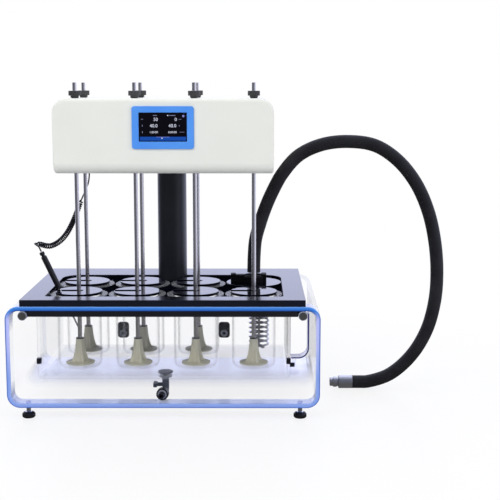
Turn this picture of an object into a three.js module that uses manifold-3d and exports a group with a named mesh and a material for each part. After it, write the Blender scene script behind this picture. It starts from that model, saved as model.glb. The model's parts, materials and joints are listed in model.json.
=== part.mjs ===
// Bench tester with stirred vessels that hang in a clear water bath.
// A bent acrylic hoop carries the bath and the black vessel plate, a round column on the plate
// carries the white drive head, and seven steel shafts turn plastic agitators in the vessels.
// Lengths are millimetres, +Z is up, the front faces -Y, the origin is the middle of the footprint.
import * as THREE from 'three';
import { mergeVertices } from 'three/addons/utils/BufferGeometryUtils.js';
import Module from 'manifold-3d';

const wasm = await Module();
wasm.setup();

// Fits
const gap = 0.3; // between pieces that touch
const play = 0.8; // round a shaft, stem or tube that passes a hole
const overrun = 2; // how far a cutting tool passes the face that it opens

// Facets round a full circle
const wideSides = 20;
const vesselSides = 16;
const smallSides = 10;
const throatSides = 12; // a side square to each axis
const cornerSteps = 3; // facets round a quarter corner

// Stations, in two rows; the bath, the plate, the head and the stand are sized round them
const stationColumns = 4;

// Vessels
const vesselRadius = 51;
const vesselApart = 34.5; // between neighbouring vessels
const vesselWall = 2.5;
const vesselLift = 5; // above the bath's floor
const vesselBend = 12;
const rimReach = 15.9; // beyond the vessel's wall
const rimThick = 2.5;

// Stand, one bent clear sheet
const standSideClear = 66; // beside the bath
const standRearClear = 86; // behind the bath
const standClear = 28; // under the hoop
const standFloorClear = 59; // from the hoop's underside to the bath
const standSheet = 10;
const standCorner = 30;

// Levelling feet
const footRadius = 15;
const footHeight = 14;
const footBevel = 2.5;
const studRadius = 5;
const studReach = 7; // into the sheet
const footInset = 23; // from the stand's front and back edge
const footSide = 44; // from the stand's outer side

// Water bath
const bathSideClear = 27.25; // beside the outer vessels
const bathFrontClear = 32; // in front of the front vessels
const bathRearClear = 41.5; // behind the rear vessels
const bathInset = 30; // behind the stand's front edge
const bathHeight = 175; // up to the stand's top
const bathWall = 6;
const bathCorner = 14;

// Black frame under the top sheet
const frameSide = 33; // from the stand's outer side
const frameInset = 4;
const frameHeight = 13.4;

// Round end caps of the frame
const capRadius = 11;
const capLength = 16;
const capBevel = 1.5;
const capInset = 6.5; // from the frame's end to the cap's axis

// Bent strip at the right of the bath
const stripThick = 3;
const stripDepth = 35;
const stripBend = 22; // inner radius
const stripRise = 55.5; // from the bath's underside to the strip's

// Clamps at the front corners of the bath
const clampWidth = 10;
const clampDepth = 12;
const clampHeight = 13;
const clampRise = 39; // above the bath's underside
const thumbRadius = 5;
const thumbDrop = 2.5; // from the clamp's foot down to the screw's axis
const thumbReach = 9; // beside the bath

// Vessel plate
const plateSide = 33.5; // from the stand's outer side
const plateThick = 15;
const recessSide = 1; // beside the outer rims
const recessFront = 7; // in front of the front rims
const recessRear = 17.6; // behind the rear rims
const recessSink = 9;
const recessFrontCorner = 10;
const recessRearCorner = 45;

// Vessel covers
const coverInset = 12.5; // inside the vessel's rim
const coverThick = 6;
const slotRadius = 10; // half the slot's width and its round end

// Column and the tube that slides in it
const columnRadius = 36;
const columnWall = 7;
const columnBehind = 11.5; // from the rear rims to the column's axis
const columnHeight = 427;
const liftLength = 395;
const liftWall = 4;

// Drive head
const headSide = 45.25; // from the outer stations' axes
const headAhead = 49; // from the front row's axes
const headBehind = 143; // from the rear row's axes
const headHeight = 170;
const headLift = 276.7; // above the plate
const headShoulder = 32; // upper side corners
const headHeel = 6; // lower side corners
const headUnder = 26; // lower front and rear edges
const headCrown = 8; // upper front and rear edges
const headWall = 3;
const lipWidth = 8; // how far the floor plate rests on the cover
const floorThick = 5;
const bearingRadius = 12;
const bearingHeight = 14;

// Cord gland under the head
const glandRadius = 6;
const glandLength = 11;

// Screen and its frame
const bezelWidth = 140;
const bezelHeight = 96;
const bezelThick = 4;
const bezelCorner = 6;
const bezelFoot = 57; // above the head's underside
const screenWidth = 108;
const screenHeight = 64.4;
const screenThick = 15;
const screenFoot = 17; // above the bezel's lower edge
const screenSink = 1; // behind the bezel's face

// Shafts
const shaftRadius = 5;
const sleeveRadius = 7.5;
const sleeveFoot = 27; // above the head's underside
const pulleyRadius = 20;
const pulleyThick = 12;
const pulleyFoot = 81; // above the head's underside
const knobRadius = 14;
const knobThick = 11;
const knobLift = 6; // above the head's top
const shaftTop = 36; // above the head's top

// Agitators
const agitatorFoot = 11; // above the bath's floor
const agitatorHeight = 61;
const hubRadius = 9.5;
const skirtRadius = 33.5;
const boreDepth = 20;
const vanes = 4;
const stepsPerVane = 4;
const vaneShares = [1, 0.45, 0, 0.45]; // of the vane's reach, round one vane
const agitatorHeightShares = [0, 0.06, 0.13, 0.28, 0.5, 1];
const agitatorHubShares = [0.98, 0.96, 0.45, 0.18, 0.05, 0]; // from hub to skirt
const agitatorVaneShares = [1, 1, 0.82, 0.48, 0.23, 0];

// Motor and belt
const motorRadius = 26;
const motorHeight = 56;
const motorShaftRadius = 4;
const motorPulleyRadius = 12;
const motorPinTop = 4; // above its pulley
const beltThick = 2;
const beltInset = 1; // from the pulley's flat faces

// Drain valve
const drainInset = 40; // behind the bath's front
const drainFlangeRadius = 17;
const drainFlangeThick = 4;
const drainNeckRadius = 6;
const drainNutRadius = 15;
const drainNutThick = 3;
const drainBodyRadius = 8;
const drainBodyDrop = 33.5; // from the bath's underside to the outlet's height
const outletRadius = 14;
const outletLength = 16;
const outletAhead = 32; // before the stem's axis
const outletTurn = -0.1; // radians to the left
const nozzleRadius = 7;
const nozzleLength = 16;

// Drain handle
const handleDrop = 22; // from the bath's underside to the handle's axis
const handleRadius = 4.5;
const handleReach = 24; // from the valve's axis
const handleBarHalf = 13;
const handleBarWidth = 9;
const plugDepth = 2.5; // how far the valve's side is bored for the handle

// Ports in the bath's rear wall
const portSide = 129; // from the middle
const portRise = 41; // above the bath's floor
const portWidth = 29;
const portHeight = 41;
const portCorner = 9;
const portThick = 6;
const portSpigotRadius = 8;
const portNozzleRadius = 9;
const portNozzleLength = 7;
const portBarbRadius = 6;
const portBarbLength = 22;
const portNutRadius = 13;
const portNutThick = 6;

// Cooling coil and its holder
const coilShift = 13; // beside the station's axis
const coilRadius = 23;
const coilTubeRadius = 2.5;
const coilPitch = 11.5;
const coilTurns = 11;
const coilLift = 16; // above the bath's floor
const coilStepsPerTurn = 10;
const coilSides = 5;
const coilBendSteps = 4;
const holderDiscThick = 6;
const holderRadius = 22;
const holderHeight = 24;
const holderArmHalf = 12;
const holderArmHeight = 20;
const holderArmLeft = 55; // from the hose's axis
const holderArmRight = 31;

// Insulated hose, laid to its coupling on the bench
const hoseRadius = 16;
const hoseSides = 8;
const hoseSteps = 44;
const couplingRadius = 17;
const couplingLength = 56;
const couplingWaistRadius = 13;
const couplingWaistLength = 10;

// The hose's route, in X and Y from the eighth station's axis: heights above the plate's top where it
// rises from its holder, and above the bench where it comes down
const hoseRise = [
  [0, 0, 21.7], [1, 0, 63], [4.5, 0, 103], [14.5, 0.5, 140], [27, 1, 177],
  [44.5, 1.5, 218], [70.5, 2.5, 265], [109.5, 4.5, 308], [166, 6.5, 334], [232, 8.5, 341],
];
const hoseFall = [
  [296, 10.5, 608], [352, 12.5, 571], [397, 14.5, 515], [428, 15.5, 447], [446, 16.5, 372],
  [453, 16.5, 295], [449, 16.5, 222], [430, 16.5, 148], [392, 16.5, 83], [339, 16.5, 36],
  [285, 16.5, 18], [266, 16.5, 17.3], [247, 16.5, 17.3],
];

// Temperature probe, leaning through the slot of the first cover; its ends and its cord's route are
// given from the first station's axis at the plate's top
const probeRodRadius = 2;
const probeHandleRadius = 7;
const probeNoseRadius = 6.6;
const probeNoseLength = 24;
const probeShoulder = 12; // height of the cone from the nose to the handle
const probeTip = [2.15, 7.6, -103.3];
const probeTop = [-85.25, -3, 91.7];
const handleBottom = 3.7; // height of the handle's nose above the plate

// Curly cord of the probe
const wireRadius = 1.8;
const curlRadius = 5.2;
const curlPitch = 5.6;
const curlSteps = 8;
const wireSides = 4;
const plainSteps = 3; // between two route points of a straight stretch
const curlFirst = 4; // route points between which the cord is curled
const curlLast = 13;
const cordRoute = [
  [4.75, 169, 265.4], [4.75, 169, 256], [2, 168, 238], [-6, 163, 217], [-14, 154, 197],
  [-22, 137, 171], [-31, 113, 144], [-42, 87, 121], [-56, 61, 106], [-71, 42, 99.8],
  [-80, 31, 101.5], [-88, 23.2, 105], [-94, 18.9, 107.5], [-98.8, 15.3, 109.3], [-101.3, 12.3, 110],
  [-102, 8, 110], [-100.1, 3.2, 109], [-95.9, 0.1, 107], [-91.1, -1.8, 103.6],
  [-88.2, -2.7, 98.3], [-85.65, -3, 92.6],
];

// Sizes and places that follow from the sizes above
const stationPitch = 2 * vesselRadius + vesselApart;
const stationSpan = (stationColumns - 1) * stationPitch;
const rimRadius = vesselRadius + rimReach;
const coverRadius = rimRadius - coverInset;
const frontRowInset = bathInset + bathWall + bathFrontClear + vesselRadius;
const bathWidth = stationSpan + 2 * (vesselRadius + bathSideClear + bathWall);
const bathDepth = stationPitch + 2 * (vesselRadius + bathWall) + bathFrontClear + bathRearClear;
const standWidth = bathWidth + 2 * standSideClear;
const standDepth = bathInset + bathDepth + standRearClear;
const standHeight = standFloorClear + bathHeight;
const standTop = standClear + standHeight;
const standFront = -standDepth / 2;
const frameWidth = standWidth - 2 * frameSide;
const capSide = frameWidth / 2 - capInset;
const plateWidth = standWidth - 2 * plateSide;
const recessWidth = stationSpan + 2 * (rimRadius + recessSide);
const headWidth = stationSpan + 2 * headSide;
const bathBottom = standTop - bathHeight;
const bathFloor = bathBottom + bathWall;
const stripFoot = bathBottom + stripRise;
const clampFoot = bathBottom + clampRise;
const bathFront = standFront + bathInset;
const bathRear = bathFront + bathDepth;
const frameTop = standTop - standSheet - gap;
const capHeight = frameTop - capRadius;
const stripTop = capHeight + capRadius / 2;
const plateBottom = standTop + gap;
const plateTop = plateBottom + plateThick;
const recessFloor = plateTop - recessSink;
const rimBottom = recessFloor + gap;
const coverBottom = rimBottom + rimThick + gap;
const frontRow = standFront + frontRowInset;
const rearRow = frontRow + stationPitch;
const columnY = rearRow + rimRadius + columnBehind;
const columnFoot = recessFloor + gap;
const liftRadius = columnRadius - columnWall - gap;
const headClear = plateTop + headLift;
const headTop = headClear + headHeight;
const headFront = frontRow - headAhead;
const headRear = rearRow + headBehind;
const headCeiling = headTop - headWall;
const floorBottom = headClear + headWall + gap;
const floorSide = headHeel - headWall; // the floor plate stops where the cover's corners begin
const floorEdge = headUnder - headWall;
const floorTop = floorBottom + floorThick;
const bezelBottom = headClear + bezelFoot;
const screenBottom = bezelBottom + screenFoot;
const agitatorBottom = bathFloor + agitatorFoot;
const agitatorTop = agitatorBottom + agitatorHeight;
const drainY = bathFront + drainInset;
const drainAxis = bathBottom - drainBodyDrop;
const handleAxis = bathBottom - handleDrop;
const pulleyBottom = headClear + pulleyFoot;
const fullTurn = 2 * Math.PI;
const quarterTurn = Math.PI / 2;

function stationX(column) {
  return column * stationPitch - stationSpan / 2;
}

function stationY(row) {
  return frontRow + row * stationPitch;
}

// Seven stirred stations, front row first; the eighth place holds the cooling coil
const stations = [0, 1, 2, 3, 4, 5, 6].map((index) => ({
  x: stationX(index % stationColumns),
  y: stationY(Math.floor(index / stationColumns)),
}));
const coilPlace = { x: stationX(stationColumns - 1), y: stationY(1) };
const firstPlace = stations[0];

// The motor stands where its smaller pulley lines up with the belt's corner
const motorPlace = {
  x: coilPlace.x + pulleyRadius - motorPulleyRadius,
  y: coilPlace.y + pulleyRadius - motorPulleyRadius,
};

// Materials
function paint(colour, roughness, metalness = 0, opacity = 1) {
  return new THREE.MeshStandardMaterial({
    color: colour, roughness, metalness, opacity, transparent: opacity < 1,
  });
}
const clearShare = 0.35;
const materials = {
  acrylic: () => paint('#dfe3fb', 0.08, 0, clearShare),
  glass: () => paint('#eef2f6', 0.05, 0, clearShare),
  blackPlastic: () => paint('#14161f', 0.35),
  blackMetal: () => paint('#1d1f24', 0.45),
  steel: () => paint('#b9b6ae', 0.25, 1),
  darkSteel: () => paint('#6b6a5a', 0.35, 1),
  whiteCasing: () => paint('#ecebe7', 0.45),
  blueFrame: () => paint('#5aa0f5', 0.4),
  screenGlass: () => paint('#05070f', 0.1),
  cream: () => paint('#b3b096', 0.6),
  rubber: () => paint('#1b1b1d', 0.8),
  blackCord: () => paint('#17181b', 0.55),
  greyPlastic: () => paint('#54585c', 0.5),
};

// Geometry helpers

// Keeps only positions, merges shared corners and drops empty triangles
function bare(geometry) {
  const plain = geometry.clone();
  plain.deleteAttribute('normal');
  plain.deleteAttribute('uv');
  const merged = mergeVertices(plain);
  const corners = Array.from(merged.getIndex().array);
  const kept = [];
  while (corners.length > 0) {
    const [a, b, c] = corners.splice(0, 3);
    if (a !== b && b !== c && c !== a) kept.push(a, b, c);
  }
  merged.setIndex(kept);
  return merged;
}

function toSolid(geometry) {
  const closed = bare(geometry);
  return new wasm.Manifold(new wasm.Mesh({
    numProp: 3,
    vertProperties: new Float32Array(closed.getAttribute('position').array),
    triVerts: new Uint32Array(closed.getIndex().array),
  }));
}

function toGeometry(solid) {
  const mesh = solid.getMesh();
  const geometry = new THREE.BufferGeometry();
  geometry.setAttribute('position', new THREE.BufferAttribute(mesh.vertProperties, 3));
  geometry.setIndex(new THREE.BufferAttribute(mesh.triVerts, 1));
  return geometry;
}

function join(...geometries) {
  return toGeometry(geometries.map(toSolid).reduce((all, next) => all.add(next)));
}

function cut(geometry, ...tools) {
  return toGeometry(tools.map(toSolid).reduce((left, tool) => left.subtract(tool), toSolid(geometry)));
}

function common(first, second) {
  return toGeometry(toSolid(first).intersect(toSolid(second)));
}

// A turned solid about Z from [radius, height] points, listed upwards along the outside
function turned(profile, sides) {
  const points = profile.map(([radius, height]) => new THREE.Vector2(radius, height));
  return bare(new THREE.LatheGeometry(points, sides).rotateX(quarterTurn));
}

// A straight round bar along Z
function bar(radius, bottom, top, sides = smallSides) {
  return turned([[0, bottom], [radius, bottom], [radius, top], [0, top]], sides);
}

// A box between two corners
function block(low, high) {
  const size = high.map((value, axis) => value - low[axis]);
  const middle = high.map((value, axis) => (value + low[axis]) / 2);
  return bare(new THREE.BoxGeometry(...size).translate(...middle));
}

// A rectangle with its own radius at each corner, listed from lower left, counter-clockwise
function roundedRectangle(left, low, right, high, corners, Outline = THREE.Shape) {
  const [a, b, c, d] = corners;
  const outline = new Outline();
  outline.moveTo(left + a, low);
  outline.lineTo(right - b, low);
  if (b > 0) outline.absarc(right - b, low + b, b, -quarterTurn, 0, false);
  outline.lineTo(right, high - c);
  if (c > 0) outline.absarc(right - c, high - c, c, 0, quarterTurn, false);
  outline.lineTo(left + d, high);
  if (d > 0) outline.absarc(left + d, high - d, d, quarterTurn, 2 * quarterTurn, false);
  outline.lineTo(left, low + a);
  if (a > 0) outline.absarc(left + a, low + a, a, 2 * quarterTurn, 3 * quarterTurn, false);
  return outline;
}

// An outline in X and Y, raised along Z
function raised(outline, bottom, top, steps = cornerSteps) {
  const solid = new THREE.ExtrudeGeometry(outline, {
    depth: top - bottom, bevelEnabled: false, curveSegments: steps,
  });
  return bare(solid.translate(0, 0, bottom));
}

// An outline in X and Z, carried along Y
function drawnBack(outline, front, rear, steps = cornerSteps) {
  return raised(outline, -rear, -front, steps).rotateX(quarterTurn);
}

// An outline in Y and Z, carried along X
function drawnAcross(outline, left, right, steps = cornerSteps) {
  return raised(outline, left, right, steps).rotateX(quarterTurn).rotateZ(quarterTurn);
}

// Rings of points joined into one closed skin, with a flat fan on each end
function skinned(rings) {
  const sides = rings[0].length;
  const positions = rings.flat().flatMap((point) => point.toArray());
  const middles = [rings[0], rings[rings.length - 1]].map((ring) => {
    const middle = new THREE.Vector3();
    ring.forEach((point) => middle.addScaledVector(point, 1 / sides));
    return middle;
  });
  middles.forEach((middle) => positions.push(...middle.toArray()));
  const faces = [];
  const firstMiddle = rings.length * sides;
  const lastRing = (rings.length - 1) * sides;
  for (let side = 0; side < sides; side += 1) {
    const next = (side + 1) % sides;
    for (let ring = 0; ring < rings.length - 1; ring += 1) {
      const here = ring * sides;
      const ahead = here + sides;
      faces.push(here + side, here + next, ahead + next, here + side, ahead + next, ahead + side);
    }
    faces.push(firstMiddle, next, side);
    faces.push(firstMiddle + 1, lastRing + side, lastRing + next);
  }
  const skin = new THREE.BufferGeometry();
  skin.setAttribute('position', new THREE.Float32BufferAttribute(positions, 3));
  skin.setIndex(faces);
  return skin;
}

const nearlyParallel = 0.1; // sine of the angle to +Y under which a tube's section starts from +X

// A round tube through closely spaced points, its section carried along without twist
function tubeThrough(points, radius, sides) {
  const headings = points.map((point, index) => {
    const before = points[Math.max(index - 1, 0)];
    const after = points[Math.min(index + 1, points.length - 1)];
    return after.clone().sub(before).normalize();
  });
  let across = new THREE.Vector3(0, 1, 0).cross(headings[0]);
  if (across.length() < nearlyParallel) across = new THREE.Vector3(1, 0, 0);
  const rings = points.map((point, index) => {
    const along = headings[index];
    across.addScaledVector(along, -across.dot(along)).normalize();
    const beside = along.clone().cross(across);
    return Array.from({ length: sides }, (_, side) => {
      const angle = fullTurn * side / sides;
      return point.clone()
        .addScaledVector(across, radius * Math.cos(angle))
        .addScaledVector(beside, radius * Math.sin(angle));
    });
  });
  return skinned(rings);
}

// The least gap between two stretches of one tube that are more than half a turn apart
function leastGap(points, radius, apart) {
  let least = Infinity;
  points.forEach((point, index) => {
    points.slice(index + apart).forEach((other) => {
      least = Math.min(least, point.distanceTo(other) - 2 * radius);
    });
  });
  return least;
}

// Stand and feet

const footPlaces = [
  [-1, -1], [1, -1], [-1, 1], [1, 1],
].map(([side, end]) => ({
  x: side * (standWidth / 2 - footSide),
  y: end * (standDepth / 2 - footInset),
}));

function standHoop() {
  const half = standWidth / 2;
  const corner = Array(4).fill(standCorner);
  const inner = Array(4).fill(standCorner - standSheet);
  const outline = roundedRectangle(-half, standClear, half, standTop, corner);
  outline.holes.push(roundedRectangle(
    -half + standSheet, standClear + standSheet, half - standSheet, standTop - standSheet, inner, THREE.Path,
  ));
  const hoop = drawnBack(outline, standFront, -standFront);
  const bathOpening = block(
    [-bathWidth / 2 - gap, bathFront - gap, standTop - standSheet - overrun],
    [bathWidth / 2 + gap, bathRear + gap, standTop + overrun],
  );
  const studHoles = footPlaces.map(({ x, y }) => bar(
    studRadius + play, standClear - overrun, standClear + standSheet + overrun,
  ).translate(x, y, 0));
  return cut(hoop, bathOpening, ...studHoles);
}

function foot() {
  const studTop = standClear + studReach;
  return turned([
    [0, 0], [footRadius - footBevel, 0], [footRadius, footBevel], [footRadius, footHeight - footBevel],
    [footRadius - footBevel, footHeight], [studRadius, footHeight], [studRadius, studTop], [0, studTop],
  ], smallSides);
}

// Bath and what is fixed to it

function bathShape(inset, floor, front, rear, top) {
  const half = bathWidth / 2 - inset;
  const corner = bathCorner - inset;
  return drawnBack(roundedRectangle(-half, floor, half, top, [corner, corner, 0, 0]), front, rear);
}

function waterBath() {
  const outside = bathShape(0, bathBottom, bathFront, bathRear, standTop);
  const inside = bathShape(
    bathWall, bathFloor, bathFront + bathWall, bathRear - bathWall, standTop + overrun,
  );
  const drainHole = bar(
    drainNeckRadius + play, bathBottom - overrun, bathFloor + overrun,
  ).translate(0, drainY, 0);
  const portHoles = [-1, 1].map((side) => bar(
    portSpigotRadius + play, -overrun, bathWall + overrun,
  ).rotateX(-quarterTurn).translate(side * portSide, bathRear - bathWall, bathFloor + portRise));
  return cut(outside, inside, drainHole, ...portHoles);
}

function underFrame() {
  const half = frameWidth / 2;
  const front = standFront + frameInset;
  const bottom = frameTop - frameHeight;
  const ring = block([-half, front, bottom], [half, -front, frameTop]);
  const opening = block(
    [-bathWidth / 2 - gap, bathFront - gap, bottom - overrun],
    [bathWidth / 2 + gap, bathRear + gap, frameTop + overrun],
  );
  const notchStart = capSide - capRadius - gap;
  const notchDepth = standFront + capLength + gap;
  const notches = [-1, 1].map((side) => {
    const edges = [side * notchStart, side * (half + overrun)].sort((a, b) => a - b);
    return block([edges[0], front - overrun, bottom - overrun], [edges[1], notchDepth, frameTop + overrun]);
  });
  return cut(ring, opening, ...notches);
}

function frameCap() {
  return turned([
    [0, 0], [capRadius - capBevel, 0], [capRadius, capBevel], [capRadius, capLength], [0, capLength],
  ], smallSides).rotateX(-quarterTurn);
}

function sideBracket() {
  const inner = capSide + capRadius + gap;
  const outer = inner + stripThick;
  const wall = bathWidth / 2 + gap;
  const turn = stripBend + stripThick;
  const strip = new THREE.Shape();
  strip.moveTo(wall, stripFoot);
  strip.lineTo(outer - turn, stripFoot);
  strip.absarc(outer - turn, stripFoot + turn, turn, -quarterTurn, 0, false);
  strip.lineTo(outer, stripTop);
  strip.lineTo(inner, stripTop);
  strip.lineTo(inner, stripFoot + turn);
  strip.absarc(inner - stripBend, stripFoot + turn, stripBend, 0, -quarterTurn, true);
  strip.lineTo(wall, stripFoot + stripThick);
  return drawnBack(strip, standFront + frameInset, standFront + frameInset + stripDepth);
}

// A block before the bath's corner; the right one holds a thumb screw
function bathClamp(side) {
  const outer = bathWidth / 2;
  const rear = bathFront - gap;
  const front = rear - clampDepth;
  const sides = [side * (outer - clampWidth), side * outer].sort((a, b) => a - b);
  const body = block([sides[0], front, clampFoot], [sides[1], rear, clampFoot + clampHeight]);
  if (side < 0) return body;
  const screw = bar(thumbRadius, -clampWidth / 2, thumbReach)
    .rotateY(quarterTurn).translate(outer, rear - clampDepth / 2, clampFoot - thumbDrop);
  return join(body, screw);
}

function vesselPlate() {
  const half = plateWidth / 2;
  const recessHalf = recessWidth / 2;
  const pocketFront = frontRow - rimRadius - recessFront;
  const plate = block([-half, standFront, plateBottom], [half, -standFront, plateTop]);
  const pocket = raised(roundedRectangle(
    -recessHalf, pocketFront, recessHalf, rearRow + rimRadius + recessRear,
    [recessFrontCorner, recessFrontCorner, recessRearCorner, recessRearCorner],
  ), recessFloor, plateTop + overrun);
  const columnPocket = bar(columnRadius + play, recessFloor, plateTop + overrun, wideSides)
    .translate(0, columnY, 0);
  const holes = [...stations, coilPlace].map(({ x, y }) => bar(
    vesselRadius + play, plateBottom - overrun, recessFloor + overrun, vesselSides,
  ).translate(x, y, 0));
  return cut(plate, pocket, columnPocket, ...holes);
}

function vessel() {
  const bottom = bathFloor + vesselLift;
  const inner = vesselRadius - vesselWall;
  const top = rimBottom + rimThick;
  return turned([
    [0, bottom], [vesselRadius - vesselBend, bottom], [vesselRadius, bottom + vesselBend],
    [vesselRadius, rimBottom], [rimRadius, rimBottom], [rimRadius, top], [inner, top],
    [inner, bottom + vesselBend], [vesselRadius - vesselBend, bottom + vesselWall], [0, bottom + vesselWall],
  ], vesselSides);
}

// The disc lies on the vessel's rim, slotted from its left edge to the shaft
function vesselCover() {
  const disc = bar(coverRadius, coverBottom, coverBottom + coverThick, wideSides);
  const throat = bar(slotRadius, coverBottom - overrun, coverBottom + coverThick + overrun, throatSides);
  const slot = block(
    [-coverRadius - overrun, -slotRadius, coverBottom - overrun],
    [0, slotRadius, coverBottom + coverThick + overrun],
  );
  return cut(disc, join(throat, slot));
}

// Drive

function columnTube() {
  const inner = columnRadius - columnWall;
  const top = columnFoot + columnHeight;
  return turned([
    [inner, columnFoot], [columnRadius, columnFoot], [columnRadius, top], [inner, top], [inner, columnFoot],
  ], wideSides);
}

function liftTube() {
  const inner = liftRadius - liftWall;
  const top = headCeiling - gap;
  const bottom = top - liftLength;
  return turned([
    [inner, bottom], [liftRadius, bottom], [liftRadius, top], [inner, top], [inner, bottom],
  ], wideSides);
}

// The head's hollow shell: a front outline and a side outline, both drawn in by the wall inside
function headShape(inset) {
  const half = headWidth / 2 - inset;
  const low = headClear + inset;
  const high = headTop - inset;
  const front = headFront + inset;
  const rear = headRear - inset;
  const face = drawnBack(
    roundedRectangle(-half, low, half, high, [headHeel, headHeel, headShoulder, headShoulder]
      .map((corner) => corner - inset)),
    front, rear,
  );
  const profile = drawnAcross(
    roundedRectangle(front, low, rear, high, [headUnder, headUnder, headCrown, headCrown]
      .map((corner) => corner - inset)),
    -half - overrun, half + overrun,
  );
  return common(face, profile);
}

function headCover() {
  const shell = cut(headShape(0), headShape(headWall));
  const side = headWidth / 2 - headWall - floorSide - lipWidth;
  const edge = headWall + floorEdge + lipWidth;
  const mouth = block(
    [-side, headFront + edge, headClear - overrun], [side, headRear - edge, headClear + headWall + overrun],
  );
  const sleeves = stations.map(({ x, y }) => bar(
    sleeveRadius + play, headCeiling - overrun, headTop + overrun,
  ).translate(x, y, 0));
  const window = block(
    [-screenWidth / 2 - gap, headFront - overrun, screenBottom - gap],
    [screenWidth / 2 + gap, headFront + headWall + overrun, screenBottom + screenHeight + gap],
  );
  const columnHole = bar(columnRadius + play, headClear - overrun, floorBottom, wideSides)
    .translate(0, columnY, 0);
  return cut(shell, mouth, window, columnHole, ...sleeves);
}

const glandPlace = { x: firstPlace.x + cordRoute[0][0], y: firstPlace.y + cordRoute[0][1] };

function headBase() {
  const side = headWidth / 2 - headWall - floorSide;
  const edge = headWall + floorEdge;
  const plate = block([-side, headFront + edge, floorBottom], [side, headRear - edge, floorTop]);
  const bearings = stations.map(({ x, y }) => bar(
    bearingRadius, floorTop - floorThick / 2, floorTop + bearingHeight,
  ).translate(x, y, 0));
  const gland = bar(glandRadius, headClear - glandLength, floorTop - floorThick / 2)
    .translate(glandPlace.x, glandPlace.y, 0);
  const bores = stations.map(({ x, y }) => bar(
    shaftRadius + play, floorBottom - overrun, floorTop + bearingHeight + overrun,
  ).translate(x, y, 0));
  const columnHole = bar(columnRadius + play, floorBottom - overrun, floorTop + overrun, wideSides)
    .translate(0, columnY, 0);
  return cut(join(plate, gland, ...bearings), columnHole, ...bores);
}

function screenBezel() {
  const half = bezelWidth / 2;
  const outline = roundedRectangle(
    -half, bezelBottom, half, bezelBottom + bezelHeight, Array(4).fill(bezelCorner),
  );
  outline.holes.push(roundedRectangle(
    -screenWidth / 2 - gap, screenBottom - gap, screenWidth / 2 + gap, screenBottom + screenHeight + gap,
    [0, 0, 0, 0], THREE.Path,
  ));
  return drawnBack(outline, headFront - gap - bezelThick, headFront - gap);
}

function screenPanel() {
  const front = headFront - gap - bezelThick + screenSink;
  const half = screenWidth / 2;
  return block(
    [-half, front, screenBottom], [half, front + screenThick, screenBottom + screenHeight],
  );
}

// One turned piece: steel rod, clamping sleeve with its pulley, and the knurled knob on top
function stirrerShaft() {
  const rodBottom = agitatorTop - boreDepth + gap;
  const knobBottom = headTop + knobLift;
  const knobTop = knobBottom + knobThick;
  const sleeveBottom = headClear + sleeveFoot;
  return turned([
    [0, rodBottom], [shaftRadius, rodBottom], [shaftRadius, sleeveBottom], [sleeveRadius, sleeveBottom],
    [sleeveRadius, pulleyBottom], [pulleyRadius, pulleyBottom], [pulleyRadius, pulleyBottom + pulleyThick],
    [sleeveRadius, pulleyBottom + pulleyThick], [sleeveRadius, knobBottom], [knobRadius, knobBottom],
    [knobRadius, knobTop], [shaftRadius, knobTop],
    [shaftRadius, headTop + shaftTop], [0, headTop + shaftTop],
  ], smallSides);
}

// A flared hub with curved vanes over a thin skirt, bored from the top for the shaft
function agitator() {
  const sides = vanes * stepsPerVane;
  const flare = skirtRadius - hubRadius;
  const ring = (height, radiusAt) => Array.from({ length: sides }, (_, side) => {
    const angle = fullTurn * side / sides;
    const radius = radiusAt(vaneShares[side % stepsPerVane]);
    return new THREE.Vector3(radius * Math.cos(angle), radius * Math.sin(angle), height);
  });
  const outside = agitatorHeightShares.map((share, index) => ring(
    agitatorBottom + share * agitatorHeight,
    (vane) => hubRadius + flare * (
      agitatorHubShares[index] * (1 - vane) + agitatorVaneShares[index] * vane
    ),
  ));
  const bore = shaftRadius + gap;
  const boreRings = [agitatorTop, agitatorTop - boreDepth].map((height) => ring(height, () => bore));
  return skinned([...outside, ...boreRings]);
}

function driveMotor() {
  const bottom = floorTop + gap;
  const top = bottom + motorHeight;
  const pinTop = pulleyBottom + pulleyThick + motorPinTop;
  return turned([
    [0, bottom], [motorRadius, bottom], [motorRadius, top], [motorShaftRadius, top],
    [motorShaftRadius, pinTop], [0, pinTop],
  ], smallSides);
}

function motorPulley() {
  const bore = motorShaftRadius + gap;
  const top = pulleyBottom + pulleyThick;
  return turned([
    [bore, pulleyBottom], [motorPulleyRadius, pulleyBottom], [motorPulleyRadius, top], [bore, top],
    [bore, pulleyBottom],
  ], smallSides);
}

// The belt runs round the outside of all pulleys, so its corners are arcs about the corner pulleys
function driveBelt() {
  const [firstX, lastX] = [stationX(0), stationX(stationColumns - 1)];
  const [frontY, rearY] = [stationY(0), stationY(1)];
  const loop = (offset, Outline) => {
    const reach = pulleyRadius + offset;
    const tight = motorPulleyRadius + offset;
    const outline = new Outline();
    outline.absarc(firstX, frontY, reach, 2 * quarterTurn, 3 * quarterTurn, false);
    outline.absarc(lastX, frontY, reach, 3 * quarterTurn, 4 * quarterTurn, false);
    outline.absarc(motorPlace.x, motorPlace.y, tight, 0, quarterTurn, false);
    outline.absarc(firstX, rearY, reach, quarterTurn, 2 * quarterTurn, false);
    return outline;
  };
  const outline = loop(gap + beltThick, THREE.Shape);
  outline.holes.push(loop(gap, THREE.Path));
  return raised(outline, pulleyBottom + beltInset, pulleyBottom + pulleyThick - beltInset);
}

// Drain

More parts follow.
